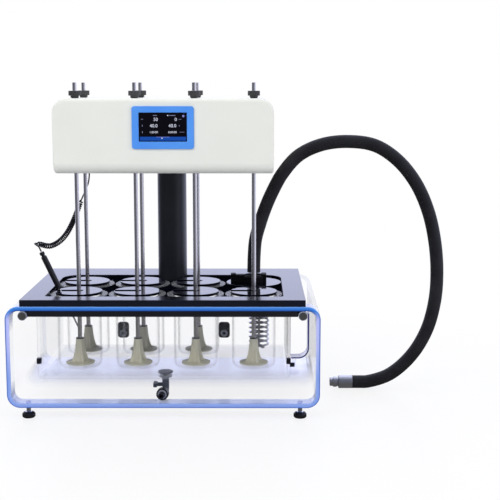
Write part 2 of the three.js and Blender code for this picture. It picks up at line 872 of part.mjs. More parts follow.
function drainBody() {
  const flange = turned([
    [0, drainAxis], [drainNeckRadius, drainAxis], [drainNeckRadius, bathFloor + gap],
    [drainFlangeRadius, bathFloor + gap], [drainFlangeRadius, bathFloor + gap + drainFlangeThick],
    [0, bathFloor + gap + drainFlangeThick],
  ], vesselSides);
  const nutTop = bathBottom - gap;
  const nut = bar(drainNutRadius, nutTop - drainNutThick, nutTop, vesselSides);
  const stem = bar(drainBodyRadius, drainAxis - drainBodyRadius, nutTop - drainNutThick / 2);
  const forward = (piece) => piece.rotateX(quarterTurn).rotateZ(outletTurn).translate(0, 0, drainAxis);
  const barrel = forward(bar(drainBodyRadius, 0, outletAhead + outletLength / 2));
  const outlet = forward(bar(outletRadius, outletAhead, outletAhead + outletLength, vesselSides));
  const mouth = outletAhead + outletLength + nozzleLength;
  const nozzle = forward(bar(nozzleRadius, outletAhead, mouth));
  const bore = forward(bar(nozzleRadius / 2, mouth - nozzleLength, mouth + overrun));
  const plugSeat = bar(handleRadius + gap, -drainBodyRadius - overrun, plugDepth - drainBodyRadius)
    .rotateY(quarterTurn).translate(0, 0, handleAxis);
  const body = cut(join(flange, nut, stem, barrel, outlet, nozzle), bore, plugSeat);
  return body.translate(0, drainY, 0);
}

function drainLever() {
  const seat = plugDepth - gap - drainBodyRadius;
  const plug = bar(handleRadius, -handleReach, seat)
    .rotateY(quarterTurn);
  const outer = -handleReach - handleBarWidth / 2;
  const bladeBar = block(
    [outer, -handleBarHalf, -handleRadius], [outer + handleBarWidth, handleBarHalf, handleRadius],
  );
  return join(plug, bladeBar).translate(0, drainY, handleAxis);
}

function bathPort(side) {
  const half = portWidth / 2;
  const tall = portHeight / 2;
  const inside = bathRear - bathWall - gap;
  const plate = drawnBack(
    roundedRectangle(-half, -tall, half, tall, Array(4).fill(portCorner)), inside - portThick, inside,
  );
  const along = (piece, y) => piece.rotateX(-quarterTurn).translate(0, y, 0);
  const spigot = along(bar(portSpigotRadius, -portThick / 2, bathWall + portNutThick), inside);
  const nut = along(bar(portNutRadius, 0, portNutThick), bathRear + gap);
  const barb = along(bar(portBarbRadius, 0, portNutThick + portBarbLength), bathRear + gap);
  const nozzleDrop = -tall + half / 2 + portNozzleRadius / 2;
  const nozzle = along(bar(portNozzleRadius, -portNozzleLength, 0), inside - portThick / 2)
    .translate(0, 0, nozzleDrop);
  const nozzleBore = along(
    bar(portNozzleRadius / 2, -portNozzleLength - overrun, 0), inside - portThick / 2,
  ).translate(0, 0, nozzleDrop);
  const port = cut(join(plate, spigot, nut, barb, nozzle), nozzleBore);
  return port.translate(side * portSide, 0, bathFloor + portRise);
}

// Cooling coil, holder and hose

// Down the middle, out to the lowest turn, up the helix, and straight up again to the holder
function coilPath() {
  const low = bathFloor + coilLift;
  const top = recessFloor;
  const points = [];
  const put = (radius, angle, height) => points.push(new THREE.Vector3(
    radius * Math.cos(angle), radius * Math.sin(angle), height,
  ));
  put(0, 0, top);
  put(0, 0, low + coilRadius / 2);
  for (let step = 1; step <= coilBendSteps; step += 1) {
    const bend = quarterTurn * step / coilBendSteps;
    const half = coilRadius / 2;
    put(half - half * Math.cos(bend), 0, low + half - half * Math.sin(bend));
  }
  const steps = coilTurns * coilStepsPerTurn;
  const lead = coilStepsPerTurn / 2; // steps in which the spiral opens from the middle
  for (let step = 0; step <= steps; step += 1) {
    const angle = fullTurn * step / coilStepsPerTurn;
    const open = Math.min(1, (step + lead) / (2 * lead));
    put(coilRadius * open, angle, low + coilPitch * step / coilStepsPerTurn);
  }
  put(coilRadius, 0, low + coilPitch * coilTurns + coilPitch / 2);
  put(coilRadius, 0, top);
  return points;
}

function coolingCoil() {
  const points = coilPath();
  const apart = coilStepsPerTurn / 2 + 2;
  console.log('cooling_coil least gap', leastGap(points, coilTubeRadius, apart).toFixed(2));
  return tubeThrough(points, coilTubeRadius, coilSides);
}

// A disc as wide as a vessel's rim, with an arm across it and a round collar for the hose
function coilHolder() {
  const bottom = recessFloor + gap;
  const discTop = bottom + holderDiscThick;
  const collar = turned([
    [0, bottom], [rimRadius, bottom], [rimRadius, discTop], [holderRadius, discTop],
    [holderRadius, discTop + holderHeight], [0, discTop + holderHeight],
  ], wideSides);
  const arm = block(
    [-holderArmLeft, -holderArmHalf, discTop - holderDiscThick / 2],
    [holderArmRight, holderArmHalf, discTop + holderArmHeight],
  );
  return join(collar, arm);
}

function vectors(route) {
  return route.map((place) => new THREE.Vector3(...place));
}

function coolantHose() {
  const section = new THREE.Shape();
  section.absarc(0, 0, hoseRadius, 0, fullTurn, false);
  const rise = vectors(hoseRise).map((point) => point.setZ(point.z + plateTop));
  const path = new THREE.CatmullRomCurve3([...rise, ...vectors(hoseFall)], false, 'centripetal');
  const ring = new THREE.Shape(section.getPoints(hoseSides).slice(0, hoseSides));
  return bare(new THREE.ExtrudeGeometry(ring, {
    steps: hoseSteps, bevelEnabled: false, extrudePath: path,
  }));
}

function hoseCoupling() {
  const waistTop = gap + couplingWaistLength;
  const end = gap + couplingLength;
  return turned([
    [0, gap], [couplingWaistRadius, gap], [couplingWaistRadius, waistTop], [couplingRadius, waistTop],
    [couplingRadius, end], [0, end],
  ], smallSides).rotateY(-quarterTurn);
}

// Probe and its curly cord

function probePoint(height) {
  const tip = new THREE.Vector3(...probeTip);
  const top = new THREE.Vector3(...probeTop);
  return tip.lerp(top, (height - tip.z) / (top.z - tip.z));
}

function temperatureProbe() {
  const tip = new THREE.Vector3(...probeTip);
  const top = new THREE.Vector3(...probeTop);
  const length = tip.distanceTo(top);
  const nose = tip.distanceTo(probePoint(handleBottom));
  const shoulder = nose + probeNoseLength;
  const upright = turned([
    [0, 0], [probeRodRadius, 0], [probeRodRadius, nose], [probeNoseRadius, nose],
    [probeNoseRadius, shoulder], [probeHandleRadius, shoulder + probeShoulder],
    [probeHandleRadius, length], [0, length],
  ], smallSides);
  const lean = new THREE.Quaternion().setFromUnitVectors(
    new THREE.Vector3(0, 0, 1), top.clone().sub(tip).normalize(),
  );
  return upright.applyQuaternion(lean).translate(...probeTip);
}

// Straight wire, then curls about the route, then straight wire into the probe's handle
function cordPath() {
  const route = new THREE.CatmullRomCurve3(vectors(cordRoute), false, 'centripetal');
  const spans = cordRoute.length - 1;
  const detail = 40; // measured points between two route points
  route.arcLengthDivisions = spans * detail;
  const lengths = route.getLengths();
  const startLength = lengths[curlFirst * detail];
  const endLength = lengths[curlLast * detail];
  const total = lengths[lengths.length - 1];
  const curls = Math.round((endLength - startLength) / curlPitch);
  const points = [];
  const plain = (from, to, steps) => {
    for (let step = 0; step < steps; step += 1) {
      points.push(route.getPointAt((from + (to - from) * step / steps) / total));
    }
  };
  plain(0, startLength, curlFirst * plainSteps);
  const across = new THREE.Vector3(1, 0, 0);
  const steps = curls * curlSteps;
  for (let step = 0; step <= steps; step += 1) {
    const share = (startLength + (endLength - startLength) * step / steps) / total;
    const along = route.getTangentAt(share);
    across.addScaledVector(along, -across.dot(along)).normalize();
    const beside = along.clone().cross(across);
    const angle = fullTurn * step / curlSteps;
    const open = Math.min(1, step / curlSteps, (steps - step) / curlSteps);
    points.push(route.getPointAt(share)
      .addScaledVector(across, curlRadius * open * Math.cos(angle))
      .addScaledVector(beside, curlRadius * open * Math.sin(angle)));
  }
  plain(endLength, total, (spans - curlLast) * plainSteps);
  points.splice(points.length - (spans - curlLast) * plainSteps, 1);
  points.push(route.getPointAt(1));
  return points;
}

function probeCord() {
  const points = cordPath();
  console.log('probe_cord least gap', leastGap(points, wireRadius, curlSteps - 2).toFixed(2));
  return tubeThrough(points, wireRadius, wireSides);
}

// Assembly

const tester = new THREE.Group();
const bench = new THREE.Group(); // stays still
const head = new THREE.Group(); // rises on the column
tester.add(bench, head);

function addPiece(parent, name, geometry, material, x = 0, y = 0, z = 0) {
  const mesh = new THREE.Mesh(geometry, material());
  mesh.name = name;
  mesh.position.set(x, y, z);
  parent.add(mesh);
}

addPiece(bench, 'stand_hoop', standHoop(), materials.acrylic);
footPlaces.forEach(({ x, y }, index) => {
  addPiece(bench, `foot_${index + 1}`, foot(), materials.rubber, x, y);
});
addPiece(bench, 'water_bath', waterBath(), materials.acrylic);
addPiece(bench, 'under_frame', underFrame(), materials.blackPlastic);
addPiece(bench, 'frame_cap_left', frameCap(), materials.darkSteel, -capSide, standFront, capHeight);
addPiece(bench, 'frame_cap_right', frameCap(), materials.darkSteel, capSide, standFront, capHeight);
addPiece(bench, 'side_bracket', sideBracket(), materials.acrylic);
addPiece(bench, 'bath_clamp_left', bathClamp(-1), materials.blackPlastic);
addPiece(bench, 'bath_clamp_right', bathClamp(1), materials.blackPlastic);
addPiece(bench, 'vessel_plate', vesselPlate(), materials.blackPlastic);
stations.forEach(({ x, y }, index) => {
  addPiece(bench, `vessel_${index + 1}`, vessel(), materials.glass, x, y);
  addPiece(bench, `cover_${index + 1}`, vesselCover(), materials.blackPlastic, x, y);
});
addPiece(bench, 'column', columnTube(), materials.blackMetal, 0, columnY);
addPiece(bench, 'drain_body', drainBody(), materials.greyPlastic);
addPiece(bench, 'drain_lever', drainLever(), materials.greyPlastic);
addPiece(bench, 'bath_port_left', bathPort(-1), materials.blackPlastic);
addPiece(bench, 'bath_port_right', bathPort(1), materials.blackPlastic);
addPiece(bench, 'cooling_coil', coolingCoil(), materials.steel, coilPlace.x + coilShift, coilPlace.y);
addPiece(bench, 'coil_holder', coilHolder(), materials.blackPlastic, coilPlace.x, coilPlace.y);
addPiece(bench, 'coolant_hose', coolantHose(), materials.rubber, coilPlace.x, coilPlace.y);
const [hoseEndX, hoseEndY, hoseEndZ] = hoseFall[hoseFall.length - 1];
addPiece(
  bench, 'hose_coupling', hoseCoupling(), materials.darkSteel,
  coilPlace.x + hoseEndX, coilPlace.y + hoseEndY, hoseEndZ,
);

addPiece(head, 'head_cover', headCover(), materials.whiteCasing);
addPiece(head, 'head_base', headBase(), materials.whiteCasing);
addPiece(head, 'lift_tube', liftTube(), materials.steel, 0, columnY);
addPiece(head, 'screen_bezel', screenBezel(), materials.blueFrame);
addPiece(head, 'screen', screenPanel(), materials.screenGlass);
addPiece(head, 'drive_motor', driveMotor(), materials.blackMetal, motorPlace.x, motorPlace.y);
addPiece(head, 'motor_pulley', motorPulley(), materials.steel, motorPlace.x, motorPlace.y);
addPiece(head, 'drive_belt', driveBelt(), materials.rubber);
stations.forEach(({ x, y }, index) => {
  addPiece(head, `shaft_${index + 1}`, stirrerShaft(), materials.steel, x, y);
  addPiece(head, `agitator_${index + 1}`, agitator(), materials.cream, x, y);
});
const probePlace = [firstPlace.x, firstPlace.y, plateTop];
addPiece(head, 'temperature_probe', temperatureProbe(), materials.blackCord, ...probePlace);
addPiece(head, 'probe_cord', probeCord(), materials.blackCord, ...probePlace);

export default tester;
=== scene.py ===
# %% [markdown]
# # A bath tester with seven stirred vessels
# This bench instrument keeps round vessels warm in a clear water bath and stirs each one with a plastic
# agitator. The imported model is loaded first, in metres, +Z up, front towards -Y, and stays as it is.

# %% Load the frame
import json
import math

import bpy
import numpy as np
from mathutils import Matrix, Vector
from mathutils.geometry import tessellate_polygon

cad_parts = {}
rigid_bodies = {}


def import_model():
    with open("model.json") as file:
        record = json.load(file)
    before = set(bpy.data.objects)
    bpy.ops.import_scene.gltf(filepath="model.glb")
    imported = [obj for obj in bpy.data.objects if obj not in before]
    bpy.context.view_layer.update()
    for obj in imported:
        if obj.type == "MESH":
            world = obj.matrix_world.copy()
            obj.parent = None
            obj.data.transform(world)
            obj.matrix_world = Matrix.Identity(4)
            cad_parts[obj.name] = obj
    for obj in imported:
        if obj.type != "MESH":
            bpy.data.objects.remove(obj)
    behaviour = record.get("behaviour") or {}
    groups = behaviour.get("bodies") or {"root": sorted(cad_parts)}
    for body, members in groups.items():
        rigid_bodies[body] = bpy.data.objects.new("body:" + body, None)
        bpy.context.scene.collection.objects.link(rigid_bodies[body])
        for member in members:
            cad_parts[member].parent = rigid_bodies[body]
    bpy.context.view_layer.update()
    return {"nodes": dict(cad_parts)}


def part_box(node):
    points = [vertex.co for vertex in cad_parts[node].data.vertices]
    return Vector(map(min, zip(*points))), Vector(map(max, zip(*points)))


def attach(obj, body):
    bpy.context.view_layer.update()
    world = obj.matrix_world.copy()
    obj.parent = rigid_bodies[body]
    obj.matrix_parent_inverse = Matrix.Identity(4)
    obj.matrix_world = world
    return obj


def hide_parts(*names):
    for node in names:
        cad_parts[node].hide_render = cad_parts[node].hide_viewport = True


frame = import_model()
scene = bpy.context.scene
MM = 0.001

# %% [markdown]
# ## The camera
# A product photographer stands back and uses a long lens, so uprights stay almost parallel. The lens is
# set from the angle of view, and the camera looks slightly down on the covers.

# %% Place the camera
look_down = math.radians(8.36)
look_left = math.radians(0.2)
frame_over_distance = 500 / 1123  # width of the picture over the distance at which it is seen

lens = bpy.data.cameras.new("camera")
lens.sensor_width = 36.0
lens.lens = lens.sensor_width / frame_over_distance
camera = bpy.data.objects.new("camera", lens)
camera.location = 0.205, -2.690, 0.754
camera.rotation_euler = math.pi / 2 - look_down, 0.0, look_left
scene.collection.objects.link(camera)
scene.camera = camera
print("lens", round(lens.lens, 1), "mm")

# %% [markdown]
# ## From arrays to a mesh
# Every new piece is a surface worked out with numpy, in millimetres: a grid of points, and faces that
# join neighbours, counter-clockwise as seen from outside. The finished piece is scaled to metres and
# rides on a body of the frame, so it moves with its joint.

# %% Turn arrays into pieces
to_right = Matrix.Rotation(math.pi / 2, 4, "Y")
to_rear = Matrix.Rotation(-math.pi / 2, 4, "X")


def quads(rings, sides, closed=False):
    """Joins a grid of points, wrapped round each ring and, if closed, from last to first."""
    ring, side = np.arange(rings if closed else rings - 1)[:, None], np.arange(sides)
    after, beside = (ring + 1) % rings, (side + 1) % sides
    corners = [(ring, side), (ring, beside), (after, beside), (after, side)]
    return np.stack([row * sides + place for row, place in corners], axis=-1).reshape(-1, 4).tolist()


def capped(grid, bottom, top):
    """A grid, rings x sides x 3, as (points, faces), closed by a fan to one point at each end."""
    sides = grid.shape[1]
    count = len(grid) * sides
    ring = np.arange(sides)
    beside, last = np.roll(ring, -1), count - sides
    low = np.stack([np.full(sides, count), beside, ring], axis=-1)
    high = np.stack([np.full(sides, count + 1), last + ring, last + beside], axis=-1)
    faces = quads(len(grid), sides) + low.tolist() + high.tolist()
    return np.vstack([grid.reshape(-1, 3), bottom, top]), faces


def joined(*parts):
    """Puts several (points, faces) pairs into one pair."""
    faces, start = [], 0
    for points, part_faces in parts:
        faces += [[corner + start for corner in face] for face in part_faces]
        start += len(points)
    return np.vstack([points for points, _ in parts]), faces


def moved(shape, offset, turn=None):
    """Turns a (points, faces) pair by a rotation matrix and then shifts it in x, y and perhaps z."""
    points, faces = shape
    if turn is not None:
        points = points @ np.array(turn.to_3x3()).T
    return points + (*offset, 0)[:3], faces


def solid(name, shape):
    """A new object with a (points, faces) pair as its mesh, in metres."""
    mesh = bpy.data.meshes.new(name)
    mesh.from_pydata((shape[0] * MM).tolist(), [], shape[1])
    made = bpy.data.objects.new(name, mesh)
    scene.collection.objects.link(made)
    return made


def make_piece(name, shape, finishes, slot, replaces="", body="root", zones=None, crisp=32, even=True):
    """A piece that rides on a body. zones maps the faces' middles, as x, y and z, to indices of
    finishes, and faces that meet at more than crisp degrees keep a hard edge."""
    piece = solid(name, shape)
    mesh = piece.data
    for finish in finishes:
        mesh.materials.append(finish)
    if zones:
        middles = np.empty(3 * len(mesh.polygons))
        mesh.polygons.foreach_get("center", middles)
        chosen = zones(*middles.reshape(-1, 3).T / MM)
        mesh.polygons.foreach_set("material_index", chosen.astype(int))
    mesh.polygons.foreach_set("use_smooth", np.ones(len(mesh.polygons), bool))
    mesh.set_sharp_from_angle(angle=math.radians(crisp))
    mesh.update()
    if even:
        piece.modifiers.new("even shading", "WEIGHTED_NORMAL").keep_sharp = True
    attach(piece, body)
    if replaces:
        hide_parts(replaces)
    print(name, len(mesh.polygons), "faces")
    return piece


def box_of(node):
    """The lowest and highest corner of a node, in millimetres."""
    return [np.array(corner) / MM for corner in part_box(node)]


def middle_of(node):
    return sum(box_of(node)) / 2


# %% [markdown]
# ## Three kinds of shape
# Nearly everything here is turned on a lathe, cut from sheet, or bent from tube, and each of these is one
# function below. Real corners are never sharp, so the first function softens those of any outline.

# %% Soften corners
def unit(vectors):
    return vectors / (np.linalg.norm(vectors, axis=1, keepdims=True) + 1e-12)


def soften(corners, radii, steps=5, closed=True):
    """Replaces each corner by an arc that touches both sides. With the half angle h at the corner, its
    centre lies on the bisector at radius / sin(h), and it turns through 180 degrees - 2h."""
    corners = np.asarray(corners, float)
    radii = np.broadcast_to(np.asarray(radii, float), len(corners)).copy()
    if not closed:
        radii[[0, -1]] = 0
    to_last, to_next = (unit(np.roll(corners, step, axis=0) - corners) for step in (1, -1))
    half = np.arccos(np.clip((to_last * to_next).sum(1), -1, 1)) / 2
    radii[np.pi / 2 - half < 0.01] = 0
    safe = np.where(radii > 0, half, np.pi / 4)
    centres = corners + unit(to_last + to_next) * (radii / np.sin(safe))[:, None]
    start, end = (corners + way * (radii / np.tan(safe))[:, None] - centres for way in (to_last, to_next))
    sweep = (np.pi - 2 * safe)[:, None, None]
    share = np.linspace(0, 1, steps + 1)[None, :, None]
    arcs = np.sin((1 - share) * sweep) * start[:, None] + np.sin(share * sweep) * end[:, None]
    arcs = centres[:, None] + arcs / np.sin(sweep)
    points = np.where(radii[:, None, None] > 0, arcs, corners[:, None]).reshape(-1, corners.shape[1])
    apart = np.linalg.norm(points - np.roll(points, 1, axis=0), axis=1) > 1e-4
    apart[0] |= not closed
    return points[apart]


def rectangle(low, high, radii=0.0, steps=6):
    """A counter-clockwise rectangle with rounded corners, from the lower left one round."""
    (left, bottom), (right, top) = low, high
    return soften([(left, bottom), (right, bottom), (right, top), (left, top)], radii, steps)


def arc(radius, angles, centre=(0, 0)):
    return np.stack([np.cos(angles), np.sin(angles)], axis=1) * radius + centre[:2]


def round_angles(sides):
    return np.linspace(0, 2 * np.pi, sides, endpoint=False)


def circle(centre, radius, sides=64):
    return arc(radius, round_angles(sides), centre)


# %% [markdown]
# A turned part is one profile spun about Z and then turned to the side it faces, as on a lathe. Flutes
# for the fingers are a wave added to the radius.

# %% Spin a profile
def turned(profile, sides=64, soft=0.0, steps=5, ripple=None, place=(0, 0), turn=None):
    """The points (r cos a, r sin a, h) for a profile of radius r and height h, listed upwards along the
    outside. It closes in a pole at each end if it starts on the axis, and otherwise on itself."""
    profile = np.asarray(profile, float)
    poles = profile[0, 0] < 1e-6
    profile = soften(profile, soft, steps, closed=not poles)
    rings = profile[1:-1] if poles else profile
    angle = round_angles(sides)[None, :]
    radius, height = rings[:, :1] + 0 * angle, rings[:, 1:] + 0 * angle
    if ripple:
        radius = radius + ripple(angle, radius, height)
    grid = np.stack([radius * np.cos(angle), radius * np.sin(angle), height], axis=2)
    if poles:
        return moved(capped(grid, (0, 0, profile[0, 1]), (0, 0, profile[-1, 1])), place, turn)
    return moved((grid.reshape(-1, 3), quads(len(rings), sides, closed=True)), place, turn)


def stepped(foot, *steps):
    """The profile of a bar whose radius changes in steps, from each step's radius and top."""
    corners = [(0, foot)]
    for radius, top in steps:
        corners += [(radius, corners[-1][1]), (radius, top)]
    return [*corners, (0, corners[-1][1])]


def bar(radius, low, high, sides=48, **more):
    """A round bar from low to high on its axis, as a part or as a cutter."""
    return turned(stepped(low, (radius, high)), sides, **more)


def flutes(count, deep, where):
    """A ripple of round flutes, as deep as deep * where(radius, height)."""
    return lambda angle, radius, height: -deep * where(radius, height) * (0.5 + 0.5 * np.cos(count * angle))


# %% [markdown]
# A sheet part is an outline with a thickness. No cut sheet has a knife-sharp arris, so the outline, with
# its holes, is drawn in a little near both faces.

# %% Give an outline its thickness
def drawn_in(loop, distance):
    """Moves a loop to the left of its direction of travel, into the material."""
    steps = loop - np.roll(loop, 1, axis=0), np.roll(loop, -1, axis=0) - loop
    before, after = (unit(np.stack([-step[:, 1], step[:, 0]], axis=1)) for step in steps)
    return loop + (before + after) * (distance / (1 + (before * after).sum(1)))[:, None]


def slab(outline, low, high, holes=(), edge=0.5, steps=3, axes=(0, 1, 2)):
    """A plate whose arrises are quarter circles: a loop is drawn in by edge * (1 - sin a) while its
    height moves by edge * (1 - cos a). axes says where the outline's coordinates and the thickness go."""
    angle = np.linspace(0, np.pi / 2, steps + 1) if edge > 0 else np.array([np.pi / 2])
    inset = np.concatenate([edge * (1 - np.sin(angle)), edge * (1 - np.sin(angle[::-1]))])
    rise = edge * (1 - np.cos(angle)) if edge > 0 else np.zeros(1)
    height = np.concatenate([low + rise, high - rise[::-1]])
    loops = [np.asarray(outline, float)] + [np.asarray(hole, float)[::-1] for hole in holes]
    walls, below, above, start = [], [], [], 0
    for loop in loops:
        rings = [np.column_stack([drawn_in(loop, d), np.full(len(loop), h)]) for d, h in zip(inset, height)]
        walls.append((np.vstack(rings), quads(len(rings), len(loop))))
        below.append(np.arange(len(loop)) + start)
        start += len(rings) * len(loop)
        above.append(np.arange(start - len(loop), start))
    points, faces = joined(*walls)
    for upwards, cap in enumerate((below, above)):
        index = np.concatenate(cap)
        for corners in tessellate_polygon([[Vector(point * MM) for point in points[ring]] for ring in cap]):
            corners = index[list(corners)]
            a, b, c = points[corners]
            left_turn = (b[0] - a[0]) * (c[1] - a[1]) - (b[1] - a[1]) * (c[0] - a[0]) > 0
            faces.append((corners if left_turn == bool(upwards) else corners[::-1]).tolist())
    placed = np.empty_like(points)
    placed[:, list(axes)] = points
    if np.linalg.det(np.eye(3)[list(axes)]) < 0:
        faces = [face[::-1] for face in faces]
    return placed, faces


upright = (0, 2, 1)  # an outline in x and z, with its thickness along y


def box(low, high, corner=0.0, edge=0.0, axes=(0, 1, 2), holes=(), steps=6, edge_steps=3):
    """A box between two corners. corner rounds its outline and edge its arrises."""
    low, high = np.asarray(low, float), np.asarray(high, float)
    flat, deep = list(axes[:2]), axes[2]
    outline = rectangle(low[flat], high[flat], corner, steps)
    return slab(outline, low[deep], high[deep], holes, edge, edge_steps, axes)


# %% [markdown]
# A tube keeps one round section whatever way it bends, so a circle is set square to the path at every
# step. The path is a smooth curve through a few known places, in even steps.

# %% Carry a round section along a path
def swept(path, towards, radius, sides=16):
    """A tube: path + radius (cos a * across + sin a * beside), where across is towards less its share
    along the path, and beside stands square to both."""
    along = unit(np.gradient(path, axis=0))
    across = np.broadcast_to(np.asarray(towards, float), path.shape)
    across = unit(across - (across * along).sum(1, keepdims=True) * along)
    beside = np.cross(along, across)
    angle = round_angles(sides)[None, :, None]
    rings = path[:, None] + radius * (np.cos(angle) * across[:, None] + np.sin(angle) * beside[:, None])
    return capped(rings, path[0], path[-1])


def smooth_route(points, per_span):
    """A centripetal Catmull-Rom curve: each span blends its four nearest points, spaced by the root of
    their distances, so that it passes through them all without loops."""
    points = np.vstack([2 * points[0] - points[1], points, 2 * points[-1] - points[-2]])
    knot = np.concatenate([[0], np.cumsum(np.sqrt(np.linalg.norm(np.diff(points, axis=0), axis=1)))])
    share = np.linspace(0, 1, per_span, endpoint=False)[None, :]
    p = [points[i:len(points) - 3 + i][:, None, :] for i in range(4)]
    t = [knot[i:len(knot) - 3 + i][:, None] for i in range(4)]
    at = t[1] + (t[2] - t[1]) * share

    def mix(a, b, from_knot, to_knot):
        weight = ((at - from_knot) / (to_knot - from_knot))[:, :, None]
        return a * (1 - weight) + b * weight

    first = [mix(p[i], p[i + 1], t[i], t[i + 1]) for i in range(3)]
    second = [mix(first[i], first[i + 1], t[i], t[i + 2]) for i in range(2)]
    return np.vstack([mix(*second, t[1], t[2]).reshape(-1, 3), points[-2:-1]])


def evenly(path, count):
    """Resamples a path at equal steps of its length, and gives that length."""
    length = np.concatenate([[0], np.cumsum(np.linalg.norm(np.diff(path, axis=0), axis=1))])
    wanted = np.linspace(0, length[-1], count)
    return np.stack([np.interp(wanted, length, path[:, axis]) for axis in range(3)], axis=1), length[-1]


# %% [markdown]
# ## Colours and a helper for nodes
# Colours are written as on a screen and turned to the linear values that a shader works in. One function
# adds a node and links what is passed as a socket, and the rest are steps that most finishes take.

# %% Start the materials
class now:
    """The tree being built, its object coordinates and the inputs of its shader."""
    tree = place = inputs = None


def linear(colour):
    """An sRGB hex colour as linear red, green, blue and 1."""
    value = np.array([int(colour[i:i + 2], 16) for i in (1, 3, 5)]) / 255
    value = np.where(value <= 0.04045, value / 12.92, ((value + 0.055) / 1.055) ** 2.4)
    return (*value.tolist(), 1.0)


def add(kind, inputs=None, output=0, **settings):
    """Adds a node, sets or links its inputs, and gives back one of its output sockets."""
    made = now.tree.nodes.new("ShaderNode" + kind)
    for key, value in settings.items():
        setattr(made, key, value)
    for key, value in (inputs or {}).items():
        if isinstance(value, bpy.types.NodeSocket):
            now.tree.links.new(value, made.inputs[key])
        else:
            made.inputs[key].default_value = value
    return made.outputs[output] if made.outputs else made


def maths(operation, first, second=0.0):
    return add("Math", {0: first, 1: second}, operation=operation)


def rising(value, start=0.0, end=1.0, low=0.0, high=1.0):
    """low before start, high after end and a straight climb between them."""
    ends = {"From Min": start, "From Max": end, "To Min": low, "To Max": high}
    return add("MapRange", {"Value": value, **ends})


def mixed(share, first, second):
    return add("MixRGB", {0: share, 1: first, 2: second})


def ramp(value, *stops):
    """A colour ramp through (position, hex colour) stops."""
    made = add("ValToRGB", {"Fac": value})
    elements = made.node.color_ramp.elements
    while len(elements) < len(stops):
        elements.new(0.5)
    for element, (position, colour) in zip(elements, stops):
        element.position, element.color = position, linear(colour)
    return made


def grain(size, detail=2.0, stretch=(1, 1, 1)):
    """Noise whose features are about size millimetres across, drawn out along stretch."""
    scaled = add("Mapping", {"Vector": now.place, "Scale": [1 / share for share in stretch]})
    return add("TexNoise", {"Vector": scaled, "Scale": 1 / (size * MM), "Detail": detail})


def bumped(height, depth):
    """A normal pushed in and out by height times depth millimetres."""
    return add("Bump", {"Height": height, "Distance": depth * MM, "Strength": 1.0})


def new_finish(name):
    """An empty material, whose tree is built from here on."""
    material = bpy.data.materials.new(name)
    material.use_nodes = True
    now.tree = material.node_tree
    now.tree.nodes.clear()
    now.place = add("TexCoord", output="Object")
    return material


def show(shader):
    """Puts a shader on the new material's surface."""
    add("OutputMaterial", {"Surface": shader})
    now.inputs = shader.node.inputs


# %% [markdown]
# ## Painted and moulded finishes
# Baked powder coat flows into a fine orange peel, so its highlights are soft and slightly broken. Moulded
# plastics have a slight mottle. The plate's laminate is rubbed down and mirrors a pale room at a low
# angle, but its sunk floor is left dull by the cutter. The covers are flame-polished acrylic.

# %% Make the opaque plastics and paints
def coated(name, dark, light, size, rough, depth, shine=0.5, sheen="#ffffff"):
    """Paint, moulded plastic or rubber: two near colours, a grain's size and relief in millimetres, a
    range of roughness, the share of light mirrored and its colour."""
    material = new_finish(name)
    fine = grain(size)
    show(add("BsdfPrincipled", {
        "Base Color": ramp(grain(80, detail=1.0), (0.35, dark), (0.65, light)),
        "Roughness": rising(fine, 0.3, 0.7, *rough),
        "Specular IOR Level": shine,
        "Specular Tint": linear(sheen),
        "Normal": bumped(fine, depth),
    }))
    return material


white_powder_coat = coated("white powder coat", "#ebece3", "#edeee5", 1.0, (0.4, 0.5), 0.01)
black_powder_coat = coated("black powder coat on steel tube", "#16181d", "#1c1e24", 1.0, (0.3, 0.42), 0.02)
blue_abs = coated("blue moulded ABS", "#4a93f0", "#559bf3", 0.8, (0.32, 0.42), 0.01)
black_abs = coated("black moulded ABS", "#101118", "#15161d", 0.8, (0.28, 0.4), 0.015)
dull_abs = coated("dull black ABS", "#060608", "#09090b", 1.2, (0.55, 0.7), 0.02, 0.15)
knob_plastic = coated("dark grey glass-filled nylon", "#3a3a3b", "#474748", 0.8, (0.42, 0.55), 0.03)
milled_phenolic = coated(
    "milled black phenolic", "#05070f", "#070a14", 1.2, (0.16, 0.24), 0.005, 0.8, "#dde2ff")
cut_phenolic = coated("dull black phenolic", "#06070f", "#0a0c16", 1.2, (0.5, 0.65), 0.01, 0.0)
polished_black = coated(
    "polished black acrylic", "#05060e", "#070812", 1.5, (0.05, 0.09), 0.002, 0.7, "#e0e4ff")
beige_polymer = coated("beige moulded polymer", "#c6c3ab", "#d3d0ba", 1.5, (0.45, 0.6), 0.03)
navy_edge = coated("cut edge of tinted acrylic", "#1f1e58", "#2d2b72", 0.8, (0.2, 0.3), 0.01)
nitrile_foam = coated("black nitrile foam", "#131316", "#202024", 1.6, (0.55, 0.8), 0.25)
soft_rubber = coated("black moulded rubber", "#121214", "#1a1a1c", 1.0, (0.5, 0.65), 0.04)
cord_jacket = coated("polyurethane cord jacket", "#101114", "#191a1e", 0.8, (0.3, 0.42), 0.02)
grey_pvc = coated("grey moulded PVC", "#464a54", "#535762", 0.8, (0.35, 0.5), 0.02)
pale_pvc = coated("pale grey moulded PVC", "#9599a6", "#a4a8b5", 0.8, (0.35, 0.5), 0.02)
slate_handle = coated("slate grey moulded handle", "#353b47", "#434a57", 0.8, (0.35, 0.45), 0.02)
timing_belt = coated("black timing belt", "#151517", "#1d1d20", 1.2, (0.55, 0.7), 0.05)
print("opaque finishes:", len(bpy.data.materials))

# %% [markdown]
# ## Metals
# The shafts are ground bar: fine marks run round it, and the highlight stretches along it. The frame's
# end caps are turned, with rings about the axis. A metal's colour alone says which metal it is.

